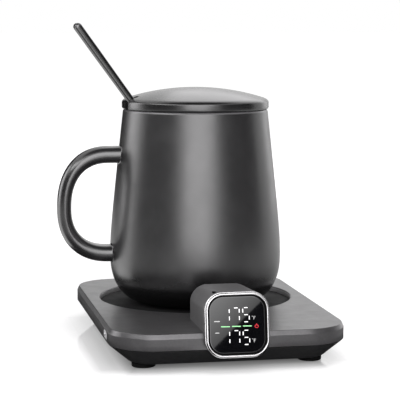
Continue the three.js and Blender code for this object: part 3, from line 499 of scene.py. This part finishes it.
def make_spoon():
    """Sections along the spoon, from the bowl's end up to the handle's tip.

    Each has its place, half its width, its back and its hollow, and the squareness of its sides and faces.
    """
    stations = []
    for i in range(1, 23):
        t = math.pi * i / 24
        depth = BOWL_DEPTH * math.sin(t) ** 1.1
        width = BOWL_HALF_WIDTH * math.sin(t) ** 0.8
        hollow = max(depth - BOWL_THICKNESS, 0.0)
        stations.append((BOWL_HALF_LENGTH * (1 - math.cos(t)), width, depth + 0.3, hollow, 1.0, 0.7))
    stations += [(38.6, 2.2, 1.15, -0.9, 0.9, 0.7), (43, 2.0, 1.2, -1.2, 0.7, 0.6),
                 (52, 2.0, 1.4, -1.4, 0.5, 0.5)]
    shaft = ((70, 2.2, 1.7), (110, 2.25, 1.8), (130, 2.3, 1.85), (150, 2.35, 2.0), (160, TIP_HALF, TIP_THICK),
             (TIP_START, TIP_HALF, TIP_THICK))
    stations += [(along, half, thick, -thick, *SHAFT_SQUARE) for along, half, thick in shaft]
    for i in range(1, 9):
        t = math.pi / 2 * i / 8
        shrink = max(math.cos(t), 0.05)
        thick = TIP_THICK * shrink
        along, half = TIP_START + TIP_LENGTH * math.sin(t), TIP_HALF * shrink ** 0.35
        stations.append((along, half, thick, -thick, *SHAFT_SQUARE))
    place = Matrix.Translation((0, MUG_Y, MUG_RIM)) @ Matrix.Rotation(NOTCH_TURN, 4, "Z")
    place = place @ Matrix.Translation(SPOON_PLACE) @ Matrix.Rotation(-SPOON_LEAN, 4, "Y")
    rings = []
    for along, half, back, hollow, sides, faces in stations:
        ring = []
        for t in full_turn(36):
            arch = abs(math.sin(t)) ** faces
            out = -back * arch if math.sin(t) >= 0 else -hollow * arch
            point = Vector((out, half * signed_power(math.cos(t), sides), SPOON_TOP - SPOON_LENGTH + along))
            ring.append(tuple(place @ point))
        rings.append(ring)
    return raw("spoon_form", *loft(rings, caps=True), sharp=50.0)


dress(make_spoon(), SPOON_BLACK, "spoon", "spoon_black", "spoon")

# Warmer: deck with its well and inlet, bottom shell and feet

BASE_X, BASE_Y, BASE_CORNER = 57.5, 81.0, 22.0
SEAM, SHELL_BOTTOM, SHELL_FLOOR = -7.8, -16.1, -13.9
DECK_WALL, DECK_UNDERSIDE = 2.2, -2.4
WELL_RADIUS, WELL_OUTSIDE, LEDGE_RADIUS, LEDGE, LEDGE_UNDERSIDE = 50.2, 52.0, 46.0, -5.0, -6.5
SHELL_GAP, SHELL_TAPER = 0.3, 10.0 / 8.3
SHELL_RIM_TOP, SHELL_INSIDE = -6.0, (4.0, -9.0)
PORT_Y, PORT_Z, PORT_HALF_Y, PORT_HALF_Z = -50.0, -5.0, 5.75, 2.15
PORT_OUTSIDE, PORT_DEPTH = -60.0, 6.0
CUTTER_BOTTOM = -17.5
SCREW_WELL_RADIUS, SCREW_WELL_TOP = 2.8, -14.7
FOOT_SEAT_RADIUS, FOOT_SEAT_TOP = 5.7, -15.3
PAD_RADIUS, PAD_NECK, PAD_EDGE, PAD_TOP = 5.75, 5.35, 0.6, -15.4
SCREWS = [(sx * 31.5, sy * 66.0) for sx in (-1, 1) for sy in (-1, 1)] + [(-8.0, -52.75), (8.0, -52.75)]
FEET = {
    "front_left": (-40.7, -61.2), "front_right": (40.7, -61.2),
    "rear_left": (-40.7, 61.2), "rear_right": (40.7, 61.2),
}


def outline(inset, z):
    """The warmer's plan, inset from its widest, with points along the straight sides too."""
    steps, between = 20, 30
    corners = rounded(BASE_X - inset, BASE_Y - inset, BASE_CORNER - inset, steps)
    out = []
    for side in range(4):
        corner = corners[side * (steps + 1):(side + 1) * (steps + 1)]
        (x0, y0), (x1, y1) = corner[-1], corners[(side + 1) * (steps + 1) % len(corners)]
        out += corner
        out += [(x0 + (x1 - x0) * i / between, y0 + (y1 - y0) * i / between) for i in range(1, between)]
    return [(x, y, z) for x, y in out]


def make_deck():
    guide = outline(1.15, 0.0)

    def well(radius, z):
        """A ring round the well with a point for each of the plan's."""
        ring = []
        for x, y, _ in guide:
            size = math.hypot(x, y - MUG_Y)
            ring.append((x / size * radius, MUG_Y + (y - MUG_Y) / size * radius, z))
        return ring

    side = [(DECK_WALL, DECK_UNDERSIDE), (DECK_WALL, SEAM), (0.25, SEAM), (0.06, SEAM + 0.06),
            (0.0, SEAM + 0.25), (0.0, -5.0)]
    chamfer = [(0.0, -2.4), (0.0, -2.25), (0.03, -2.15), (0.08, -2.02), (0.13, -1.9), (0.5, -1.1),
               (0.87, -0.3), (0.92, -0.18), (0.99, -0.07), (1.12, 0.0), (1.35, 0.0), (2.5, 0.0)]
    bore = [(51.1, 0.0), (50.85, 0.0), (50.62, -0.08), (50.3, -0.38), (WELL_RADIUS, -0.6),
            (WELL_RADIUS, -1.5), (WELL_RADIUS, LEDGE), (LEDGE_RADIUS, LEDGE),
            (LEDGE_RADIUS, LEDGE_UNDERSIDE), (WELL_OUTSIDE, LEDGE_UNDERSIDE)]
    rings = [well(WELL_OUTSIDE, DECK_UNDERSIDE)] + [outline(*point) for point in side + chamfer]
    rings += [well(*point) for point in bore]
    deck = raw("deck_form", *loft(rings, closed=True), sharp=40.0)
    mouth = [(PORT_Y + y, PORT_Z + z) for y, z in rounded(PORT_HALF_Y, PORT_HALF_Z, PORT_HALF_Z, 8)]
    port = [[(x, y, z) for y, z in mouth] for x in (PORT_OUTSIDE, PORT_OUTSIDE + PORT_DEPTH)]
    return carve(deck, raw("cutter", *loft(port, caps=True)), sharp=40.0)


def make_well_wall_light():
    """A paler band round the top of the well's wall: painted light that lifts the shade on the wall."""
    profile = [(50.17, -0.62), (50.17, -2.55), (49.97, -2.55), (49.97, -0.75), (50.03, -0.64)]
    return raw("well_wall_light_band", *lathe(profile, (0, MUG_Y, 0), 160, closed=True))


def make_shell():
    """The tray, which tapers from the seam to its bottom, cut for its screws and feet."""
    def taper(z, more=0.0):
        return SHELL_TAPER * (SEAM - z) + more, z

    under_seam = SEAM - SHELL_GAP
    profile = [(10.8, SHELL_FLOOR), SHELL_INSIDE, (SHELL_INSIDE[0], SHELL_RIM_TOP), (2.5, SHELL_RIM_TOP),
               (2.5, under_seam), taper(under_seam, 0.12), taper(under_seam - 0.12)]
    profile += [taper(z) for z in (-10.0, -12.0, -14.0, -15.2)]
    profile += [(9.6, -15.72), (10.05, -15.98)]
    profile += [(inset, SHELL_BOTTOM) for inset in (10.6, 12.5, 16.0, 21.0)]
    shell = raw("shell_form", *loft([outline(*point) for point in profile], caps=True), sharp=30.0)
    cutters = []
    for places, radius, top, segments in ((SCREWS, SCREW_WELL_RADIUS, SCREW_WELL_TOP, 40),
                                          (FEET.values(), FOOT_SEAT_RADIUS, FOOT_SEAT_TOP, 64)):
        hole = [(0, CUTTER_BOTTOM), (radius, CUTTER_BOTTOM), (radius, top), (0, top)]
        cutters += [raw("cutter", *lathe(hole, (x, y, 0), segments)) for x, y in places]
    return carve(shell, *cutters, sharp=30.0)


def make_foot(where):
    profile = [(0, PAD_TOP), (5.2, PAD_TOP), (PAD_NECK, -15.6), (PAD_NECK, -16.15), (PAD_RADIUS, -16.4)]
    profile += arc(PAD_RADIUS - PAD_EDGE, GROUND + PAD_EDGE, PAD_EDGE, 0, -90, 6)
    profile += [(3.4, GROUND), (3.1, GROUND + 0.25), (0, GROUND + 0.25)]
    return raw("foot_pad_" + where, *lathe(profile, (*FEET[where], 0), 64))


dress(make_deck(), DECK_GREY, "warmer", "deck_grey", "deck_housing")
dress(make_well_wall_light(), WELL_WALL_LIGHT, "warmer", "plate_black")
dress(make_shell(), SHELL_BLACK, "warmer", "shell_black", "bottom_shell")
for where in FEET:
    dress(make_foot(where), RUBBER, "warmer", "rubber", "foot_" + where)

# Display pod, bezel and glass, on a face that tilts back

FACE = Vector((0.0, -82.4, 4.0))
FACE_TILT = math.radians(8.6)
FACE_SHIFT = (-0.1, -0.15)
POD_HALF, POD_CORNER, POD_EDGE = 15.1, 8.3, 2.6
POD_REAR, POD_REAR_HEIGHT = -43.0, 1.8
POD_SLOPE = (POD_REAR_HEIGHT - FACE.z) / (POD_REAR - FACE.y)
BEZEL_HALF, BEZEL_CORNER = 15.45, 8.75
GLASS_HALF, GLASS_CORNER, GLASS_TOP = 13.3, 6.6, 1.4
SLIT = ((-10.3, -77.5), (-8.2, -77.5), (-9.0, -74.2), (-9.6, -73.3), (-10.2, -74.0))
SLIT_BOTTOM, SLIT_CUT_TOP = 16.9, 25.0
SLIT_SHADE_BOTTOM, SLIT_SHADE_TOP, SLIT_SHADE_SLOPE = 17.1, 18.95, -0.0558


def on_face(u, v, h):
    """A point u across, v up and h out from the pod's tilted face."""
    up = Vector((0, math.sin(FACE_TILT), math.cos(FACE_TILT)))
    out = Vector((0, -math.cos(FACE_TILT), math.sin(FACE_TILT)))
    return tuple(FACE + Vector((u, 0, 0)) + up * v + out * h)


def make_pod():
    """A rounded square along a gentle slope, from its rounded rear to the tilted face, with a slit on top."""
    def section(inset):
        return rounded(POD_HALF - inset, POD_HALF - inset, POD_CORNER - inset, 14)

    def upright(inset, y):
        return [(x, y, FACE.z + POD_SLOPE * (y - FACE.y) + up) for x, up in section(inset)]

    def tilted(inset, depth):
        ring = []
        for x, up in section(inset):
            behind = depth + up * math.tan(FACE_TILT)
            ring.append((x, FACE.y + behind, FACE.z + up + POD_SLOPE * behind))
        return ring

    rings = [upright(inset, y) for inset, y in arc(POD_EDGE, POD_REAR - POD_EDGE, POD_EDGE, 90, 180, 10)]
    rings.append(upright(0.0, -60.0))
    edge = ((0.0, 8.0), (0.0, 0.35), (0.05, 0.15), (0.2, 0.02), (2.0, 0.02), (2.0, 6.0))
    rings += [tilted(inset, depth) for inset, depth in edge]
    pod = raw("pod_form", *loft(rings, caps=True), sharp=40.0)
    slit = [[(x, y, z) for x, y in SLIT] for z in (SLIT_BOTTOM, SLIT_CUT_TOP)]
    return carve(pod, raw("cutter", *loft(slit, caps=True)), sharp=40.0)


# A black block that fills the slit nearly to the pod's top: painted shade in the slit.
def make_slit_shade():
    rings = [[(x, y, SLIT_SHADE_BOTTOM) for x, y in SLIT],
             [(x, y, SLIT_SHADE_TOP + SLIT_SHADE_SLOPE * (y - FACE.y)) for x, y in SLIT]]
    return raw("pod_slot_painted_shade", *loft(rings, caps=True), sharp=40.0)


def face_ring(inset, h, half=BEZEL_HALF, corner=BEZEL_CORNER):
    du, dv = FACE_SHIFT
    return [on_face(u + du, v + dv, h) for u, v in rounded(half - inset, half - inset, corner - inset, 18)]


def make_bezel():
    """A flange behind, and the bright front ring that stands on it."""
    flange = [(2.1, 0.12), (0.35, 0.12), (0.35, 0.5), (0.14, 0.56), (0.06, 0.66), (0.06, 0.8), (0.14, 0.92),
              (0.3, 0.98), (0.5, 1.0), (0.5, 1.9)]
    front = [(0.5, 2.1), (0.54, 2.26), (0.64, 2.42), (0.8, 2.54), (1.0, 2.59), (1.12, 2.6), (1.24, 2.58),
             (1.36, 2.52), (1.46, 2.4), (1.54, 2.22), (1.59, 2.0), (1.62, 1.72), (2.1, 1.6)]
    return raw("bezel_ring", *loft([face_ring(*point) for point in flange + front], closed=True), sharp=60.0)


def make_gap():
    """Black pieces that paint shade: in the gap between the bright ring and the glass, where they also stand
    for a dark border, and in the seam behind the ring.
    """
    edge = [(1.62, 1.0), (1.62, 1.76), (1.66, 1.8), (2.0, 1.7), (2.2, 1.5), (2.3, 1.42), (2.3, 1.0)]
    seam = [(0.42, 1.1), (0.9, 1.1), (0.9, 1.96), (0.47, 1.96), (0.42, 1.92)]
    shapes = [loft([face_ring(*point) for point in profile], closed=True) for profile in (edge, seam)]
    return raw("display_gap_shade", *joined(*shapes), sharp=40.0)


def make_glass():
    profile = [(0.0, 0.2), (0.0, 1.12), (0.06, 1.28), (0.2, 1.37), (0.4, GLASS_TOP), (0.48, GLASS_TOP),
               (6.0, GLASS_TOP)]
    rings = [face_ring(inset, h, GLASS_HALF, GLASS_CORNER) for inset, h in profile]
    return raw("glass_pane", *loft(rings, caps=True), sharp=20.0)


dress(make_pod(), POD_GREY_PAINTED_LIGHTER, "warmer", "deck_grey", "pod_housing")
dress(make_slit_shade(), RECESS_SHADE, "warmer", "shell_black")
dress(make_bezel(), SILVER, "warmer", "silver", "display_bezel")
dress(make_gap(), RECESS_SHADE, "warmer", "shell_black")
dress(make_glass(), GLASS, "warmer", "lens_black", "display_lens")

# Figures and signs on the glass: bars with round ends, a hair proud of it

MARK_DEPTH = (GLASS_TOP - 0.04, GLASS_TOP + 0.03)
FIGURE_WIDTH, FIGURE_HALF, FIGURE_STROKE = 3.05, 3.3, 0.4
LEVEL_INSET, UPRIGHT_HALF, UPPER_MIDDLE, LOWER_MIDDLE = 0.82, 0.72, 1.93, 1.85
SEGMENTS = {"1": "bc", "7": "abc", "5": "afgcd"}
FIGURE_ROWS = ((1.14, 0.0), (-9.4, -0.08))
FIGURE_PLACES = (("1", -6.9), ("7", -2.15), ("5", 2.57))
UNIT_PLACE = (7.1, 1.0)
FLAME_PLACE, FLAME_SIZE, FLAME_STROKE = (9.02, -0.93), 0.82, 0.2


def bar(u0, v0, u1, v1, width):
    """A bar between two points of the face, with round ends."""
    turn, half = math.degrees(math.atan2(v1 - v0, u1 - u0)), width / 2
    shape = arc(u1, v1, half, turn - 90, turn + 90, 6) + arc(u0, v0, half, turn + 90, turn + 270, 6)
    return loft([[on_face(u, v, h) for u, v in shape] for h in MARK_DEPTH], caps=True)


def figure(kind, u, v):
    """One figure of seven segments; u and v are its lower left corner."""
    levels = {"a": 2 * FIGURE_HALF, "g": FIGURE_HALF, "d": 0.0}
    uprights = {"f": (0.0, True), "b": (FIGURE_WIDTH, True), "c": (FIGURE_WIDTH, False)}
    out = []
    for segment in SEGMENTS[kind]:
        if segment in levels:
            level = v + levels[segment]
            out.append(bar(u + LEVEL_INSET, level, u + FIGURE_WIDTH - LEVEL_INSET, level, FIGURE_STROKE))
        else:
            across, high = uprights[segment]
            middle = v + (FIGURE_HALF + UPPER_MIDDLE if high else LOWER_MIDDLE)
            ends = (u + across, middle - UPRIGHT_HALF, u + across, middle + UPRIGHT_HALF)
            out.append(bar(*ends, FIGURE_STROKE))
    return out


def unit_sign(u, v):
    """A degree ring of eight short bars, and an F."""
    size, top, step = 0.16, v + 1.5, 0.7
    ring = []
    for t in full_turn(8):
        ring.append(bar(u + size * math.cos(t), top + size * math.sin(t),
                        u + size * math.cos(t + step), top + size * math.sin(t + step), 0.08))
    letter = [bar(u + 0.62, v, u + 0.62, v + 1.4, 0.15), bar(u + 0.66, v + 1.4, u + 1.4, v + 1.4, 0.15),
              bar(u + 0.66, v + 0.72, u + 1.15, v + 0.72, 0.13)]
    return ring + letter


def flame():
    edge = [(-0.45, -1.0), (-0.95, -0.45), (-0.98, 0.1), (-0.6, 0.5), (-0.35, 0.3), (-0.2, 0.85), (0.0, 1.25),
            (0.22, 0.85), (0.35, 0.3), (0.62, 0.5), (0.98, 0.1), (0.95, -0.45), (0.45, -1.0)]
    edge = [(FLAME_PLACE[0] + FLAME_SIZE * u, FLAME_PLACE[1] + FLAME_SIZE * v) for u, v in edge]
    return [bar(*a, *b, FLAME_STROKE) for a, b in zip(edge, edge[1:] + edge[:1])]


figures, units = [], []
for level, shift in FIGURE_ROWS:
    for kind, u in FIGURE_PLACES:
        figures += figure(kind, u + shift, level)
    units += unit_sign(UNIT_PLACE[0] + shift, level + UNIT_PLACE[1])
captions = [bar(-11.0, 1.75, -8.6, 1.72, 0.42), bar(-10.6, -3.6, -9.0, -3.62, 0.36)]
levels = [bar(u + 0.22, -0.76, u + 4.05, -0.86, 0.46) for u in (-7.99, -2.77, 2.46)]
for name, bars, look in (
    ("display_figures", figures, LIT_WHITE), ("display_units", units, LIT_UNIT),
    ("display_captions", captions, LIT_SOFT), ("display_level_bars", levels, LIT_GREEN),
    ("display_heat_mark", flame(), LIT_RED),
):
    dress(raw(name, *joined(*bars)), look, "warmer", "lens_black")

# CAD nodes that keep their own shape

KEPT = {
    "lid_seal": SILICONE, "heating_plate": PLATE_BLACK, "plate_gasket": SILICONE, "heater_disc": FILM,
    "insulation_pad": MICA, "plate_retainer": STEEL, "temperature_sensor": WHITE, "thermal_fuse": STEEL,
    "display_light_guide": WHITE, "display_board": BOARD, "inlet_shell": PORT_STEEL, "inlet_tongue": TONGUE,
    "control_board": BOARD,
}
for name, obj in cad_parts.items():
    look = KEPT.get(name) or (STEEL if "screw" in name else None)
    if look:
        for slot in obj.material_slots:
            slot.material = look.material

# Camera, from the photograph's view

CAMERA_TARGET, CAMERA_DISTANCE = Vector((6.25, 3.00, 71.48)) * MM, 0.8174
CAMERA_ANGLES = (-11.25, 6.69, 0.079)
FOCAL_PIXELS, PICTURE_PIXELS, SENSOR_MM = 1595.8, 400, 36.0


def toward(azimuth, elevation):
    """A direction from its azimuth, which is nought at the front, and its elevation, in degrees."""
    a, e = math.radians(azimuth), math.radians(elevation)
    return Vector((math.sin(a) * math.cos(e), -math.cos(a) * math.cos(e), math.sin(e)))


def make_camera():
    azimuth, elevation, roll = CAMERA_ANGLES
    roll = math.radians(roll)
    back = toward(azimuth, elevation)
    right = (-back).cross(Vector((0, 0, 1))).normalized()
    up = right.cross(-back)
    axes = (right * math.cos(roll) + up * math.sin(roll), up * math.cos(roll) - right * math.sin(roll), back)
    data = bpy.data.cameras.new("camera")
    data.sensor_width = SENSOR_MM
    data.lens = FOCAL_PIXELS / PICTURE_PIXELS * SENSOR_MM
    data.clip_start, data.clip_end = 0.01, 50.0
    camera = bpy.data.objects.new("camera", data)
    spot = CAMERA_TARGET + back * CAMERA_DISTANCE
    camera.matrix_world = Matrix((*(Vector((*axis, 0)) for axis in axes), Vector((*spot, 1)))).transposed()
    bpy.context.scene.collection.objects.link(camera)
    bpy.context.scene.camera = camera


make_camera()

# Studio: a pale floor, soft lamps, and cards that only gloss sees, dark or shining

CENTRE = Vector((0.0075, 0.0, 0.06))
LAMP_COLOUR = (1.0, 0.985, 1.0)


def lamp(name, azimuth, elevation, distance, width, height, radiance):
    data = bpy.data.lights.new(name, "AREA")
    data.shape = "RECTANGLE"
    data.size, data.size_y = width, height
    data.energy = radiance * math.pi * width * height
    data.color = LAMP_COLOUR
    obj = bpy.data.objects.new(name, data)
    obj.location = CENTRE + toward(azimuth, elevation) * distance
    obj.rotation_mode = "QUATERNION"
    obj.rotation_quaternion = (CENTRE - obj.location).to_track_quat("-Z", "Y")
    obj.visible_camera = False
    bpy.context.scene.collection.objects.link(obj)
    return obj


lamp("key", azimuth=-5, elevation=16, distance=0.95, width=0.76, height=0.78, radiance=3.55)
lamp("left_strip", azimuth=-120.5, elevation=10, distance=1.2, width=0.5, height=0.9, radiance=2.5)
lamp("right_strip", azimuth=129, elevation=9, distance=1.2, width=0.38, height=0.8, radiance=1.05)
lamp("back_top", azimuth=150, elevation=38, distance=1.2, width=0.95, height=0.7, radiance=1.15)
top_lamp = lamp("top", azimuth=20, elevation=80, distance=1.1, width=0.8, height=0.8, radiance=1.8)
top_lamp.visible_glossy = False


def empty_material(name):
    material = bpy.data.materials.new(name)
    material.use_nodes = True
    material.node_tree.nodes.clear()
    return material, Nodes(material.node_tree)


FLOOR_MIDDLE, FLOOR_HALF = (DECK - Vector((2.0, 0, 0))) * MM, (0.0455, 0.071, 0.0)
FLOOR_TINT, FLOOR_NOISE, FLOOR_GLOSS = (0.79, 0.81), 6.0, 0.06
FLOOR_NEAR, FLOOR_FAR, FLOOR_NEAR_LIGHT, FLOOR_FAR_LIGHT = 0.25, 0.9, 0.5, 0.82
CONTACT_SHARE, CONTACT_REACH, FRONT_SHARE = 0.72, (-0.008, 0.005), 0.36
MIRROR_SHARES, MIRROR_SIDE = (0.28, 0.03), (0.014, 0.02)
MIRROR_FADE, MIRROR_FRONT = (1.0, 0.1), (-0.004, 0.009)


def floor_material():
    """A pale floor with a light of its own, a contact shade by the warmer and a weak mirror before it.

    Both come from a sharp gloss that shows the dark warmer, mixed in by the distance from its footprint.
    """
    material, nodes = empty_material("pale_floor")
    place = nodes.place()
    noise = nodes.node("TexNoise", {"Scale": FLOOR_NOISE}).outputs["Fac"]
    diffuse = nodes.node("BsdfDiffuse", {"Color": nodes.ranged(noise, *FLOOR_TINT, 0.0, 1.0)})
    away = nodes.node("VectorMath", {0: place}, operation="LENGTH").outputs["Value"]
    light = nodes.ranged(away, FLOOR_NEAR_LIGHT, FLOOR_FAR_LIGHT, FLOOR_NEAR, FLOOR_FAR)
    white = nodes.node("Emission", {"Strength": nodes.maths("MULTIPLY", nodes.seen(), light)})
    pale = nodes.node("AddShader", {0: diffuse.outputs[0], 1: white.outputs[0]})
    gloss = nodes.node("BsdfGlossy", {"Roughness": FLOOR_GLOSS})
    beside = nodes.node("VectorMath", {0: place, 1: FLOOR_MIDDLE}, operation="SUBTRACT").outputs["Vector"]
    beside = nodes.node("VectorMath", {0: beside}, operation="ABSOLUTE").outputs["Vector"]
    beside = nodes.node("VectorMath", {0: beside, 1: FLOOR_HALF}, operation="SUBTRACT").outputs["Vector"]
    past = nodes.node("SeparateXYZ", {0: beside}).outputs
    nearest = nodes.maths("MAXIMUM", past["X"], nodes.maths("MULTIPLY", past["Y"], FRONT_SHARE))
    contact = nodes.ranged(nearest, CONTACT_SHARE, 0.0, *CONTACT_REACH)
    mirror = nodes.maths("MULTIPLY", nodes.ranged(past["X"], *MIRROR_SHARES, *MIRROR_SIDE),
                         nodes.ranged(past["Y"], *MIRROR_FADE, *MIRROR_FRONT))
    share = nodes.maths("ADD", contact, mirror)
    mix = nodes.node("MixShader", {0: share, 1: pale.outputs[0], 2: gloss.outputs[0]})
    nodes.node("OutputMaterial", {"Surface": mix.outputs[0]})
    return material


def dark_material():
    material = bpy.data.materials.new("black_card")
    material.use_nodes = True
    nodes = Nodes(material.node_tree)
    nodes.feed(nodes.tree.nodes["Principled BSDF"], {
        "Base Color": (0.004, 0.004, 0.004, 1), "Roughness": 0.9, "Specular IOR Level": 0.0,
    })
    return material


def shining(name, grows, strengths, measure=None, dark_before=None):
    """An emission that grows with the distance from the origin, or along a measure of the card's place."""
    material, nodes = empty_material(name)
    along = nodes.node("VectorMath", {0: nodes.place()}, operation="DOT_PRODUCT" if measure else "LENGTH")
    if measure:
        nodes.feed(along, {1: measure})
    along = along.outputs["Value"]
    strength = nodes.ranged(along, *strengths, *grows)
    if dark_before is not None:
        strength = nodes.maths("MULTIPLY", strength, nodes.maths("GREATER_THAN", along, dark_before))
    shine = nodes.node("Emission", {"Strength": strength})
    nodes.node("OutputMaterial", {"Surface": shine.outputs[0]})
    return material


def card(name, verts, faces, material, only_gloss=True):
    """A sheet, which only gloss sees unless told otherwise."""
    mesh = bpy.data.meshes.new(name)
    mesh.from_pydata(verts, [], faces)
    mesh.materials.append(material)
    obj = bpy.data.objects.new(name, mesh)
    bpy.context.scene.collection.objects.link(obj)
    if only_gloss:
        obj.visible_camera = obj.visible_diffuse = obj.visible_shadow = obj.visible_transmission = False
    return obj


def fan(start, end, rows, steps=8):
    """A strip about the object between two rows of points, each at a distance and a height."""
    turns = [math.radians(start + (end - start) * i / steps) for i in range(steps + 1)]
    verts = [(CENTRE.x + math.sin(t) * away, -math.cos(t) * away, z) for away, z in rows for t in turns]
    faces = [(k, k + 1, k + steps + 2, k + steps + 1) for k in range(steps)]
    return verts, faces


def flat(points, z):
    return [(x, y, z) for x, y in points], [tuple(range(len(points)))]


def table_card(name, look, azimuths, reach, z, grows, strengths):
    """A stretch of the table that gloss sees lit."""
    card(name, *fan(*azimuths, [(away, z) for away in reach]), shining(look, grows, strengths))


TABLE_HALF = 12.0
FLAG_AWAY, FLAG_FOOT = 0.8, 0.002
GLOW_FOOT, GLOW_TOP, GLOW_STRENGTH = 0.49, 0.8, 4.4
CEILING_HALF_X, CEILING_HALF_Y, CEILING_Y, CEILING_HEIGHT = 0.58, 0.5, -0.12, 1.0

table = [(TABLE_HALF * x, TABLE_HALF * y) for x, y in ((-1, -1), (1, -1), (1, 1), (-1, 1))]
floor = card("floor", *flat(table, 0.0), floor_material(), only_gloss=False)
floor.visible_glossy = False
card("table_gloss", *flat(table, -0.004), shining("table_as_gloss_sees_it", (0.1, 0.4), (0.02, 0.85)))
for name, look, *numbers in (
    ("table_front", "table_lit_front", (-10, 12), (0.21, 0.7), -0.002, (0.17, 0.33), (0.3, 2.3)),
    ("table_under_ring", "table_lit_near", (-9, 10), (0.088, 0.125), -0.001, (0.0, 1.0), (1.7, 1.7)),
    ("table_left", "table_lit_left", (-178, -104), (0.1, 1.15), -0.002, (0.1, 0.16), (0.4, 0.75)),
    ("table_left_strip", "table_strip_left", (-136, -106), (0.085, 1.15), -0.001, (0.08, 0.12), (0.9, 1.8)),
    ("table_corner", "table_lit_corner", (-100, -56), (0.15, 0.3), -0.0015, (0.15, 0.3), (0.5, 0.5)),
    ("table_corner_front", "table_lit_corner_front", (-56, -34), (0.15, 0.3), -0.0015, (0.15, 0.3),
     (0.9, 0.9)),
    ("table_right", "table_lit_right", (62, 150), (0.11, 0.5), -0.002, (0.1, 0.3), (0.3, 0.9)),
):
    table_card(name, look, *numbers)

dark = dark_material()
side = [(-0.052, -0.09), (-0.052, 0.28), (-0.094, 0.28), (-0.094, -0.09)]
card("table_dark_side", *flat(side, -0.0005), dark)
for name, azimuths, top in (("flag_left", (-98, -38), 0.48), ("flag_right", (27, 92), 0.62),
                            ("flag_left_rear", (-176, -134), 0.5)):
    card(name, *fan(*azimuths, ((FLAG_AWAY, FLAG_FOOT), (FLAG_AWAY, top))), dark)
round_card = arc(0.0, 0.0, 1.0, 0, 360, 40)[:-1]
ceiling = [(CEILING_HALF_X * x, CEILING_Y + CEILING_HALF_Y * y) for x, y in round_card]
card("flag_top", *flat(ceiling, CEILING_HEIGHT), dark)
card("chamfer_glow", *fan(-92, -36, ((FLAG_AWAY, GLOW_FOOT), (FLAG_AWAY, GLOW_TOP))),
     shining("glow_for_edges", (0.0, 2.0), (GLOW_STRENGTH, GLOW_STRENGTH)))

# The upright card whose slanted edge shows in the glass

EDGE_SLANT = math.radians(41.6)
EDGE_POINT, EDGE_GROWTH = (0.1447, 0.0765), 0.037
EDGE_AWAY, EDGE_LEFT, EDGE_RIGHT, EDGE_BOTTOM, EDGE_TOP = -0.8, 0.115, 0.22, 0.045, 0.15
across = (-math.sin(EDGE_SLANT), 0.0, math.cos(EDGE_SLANT))
start = across[0] * EDGE_POINT[0] + across[2] * EDGE_POINT[1]
corners = ((EDGE_LEFT, EDGE_BOTTOM), (EDGE_RIGHT, EDGE_BOTTOM), (EDGE_RIGHT, EDGE_TOP), (EDGE_LEFT, EDGE_TOP))
card("key_edge", [(x, EDGE_AWAY, z) for x, z in corners], [(0, 1, 2, 3)],
     shining("graded_edge", (start, start + EDGE_GROWTH), (1.4, 4.0), across, start))

# A white background that lights the object only weakly

BACKGROUND_LIGHT = 0.3
world = bpy.data.worlds.new("studio")
bpy.context.scene.world = world
world.use_nodes = True
nodes = Nodes(world.node_tree)
nodes.feed(nodes.tree.nodes["Background"], {
    "Color": (1, 1, 1, 1), "Strength": nodes.ranged(nodes.seen(), BACKGROUND_LIGHT, 1.0, 0.0, 1.0),
})
bpy.context.scene.view_settings.view_transform = "Standard"
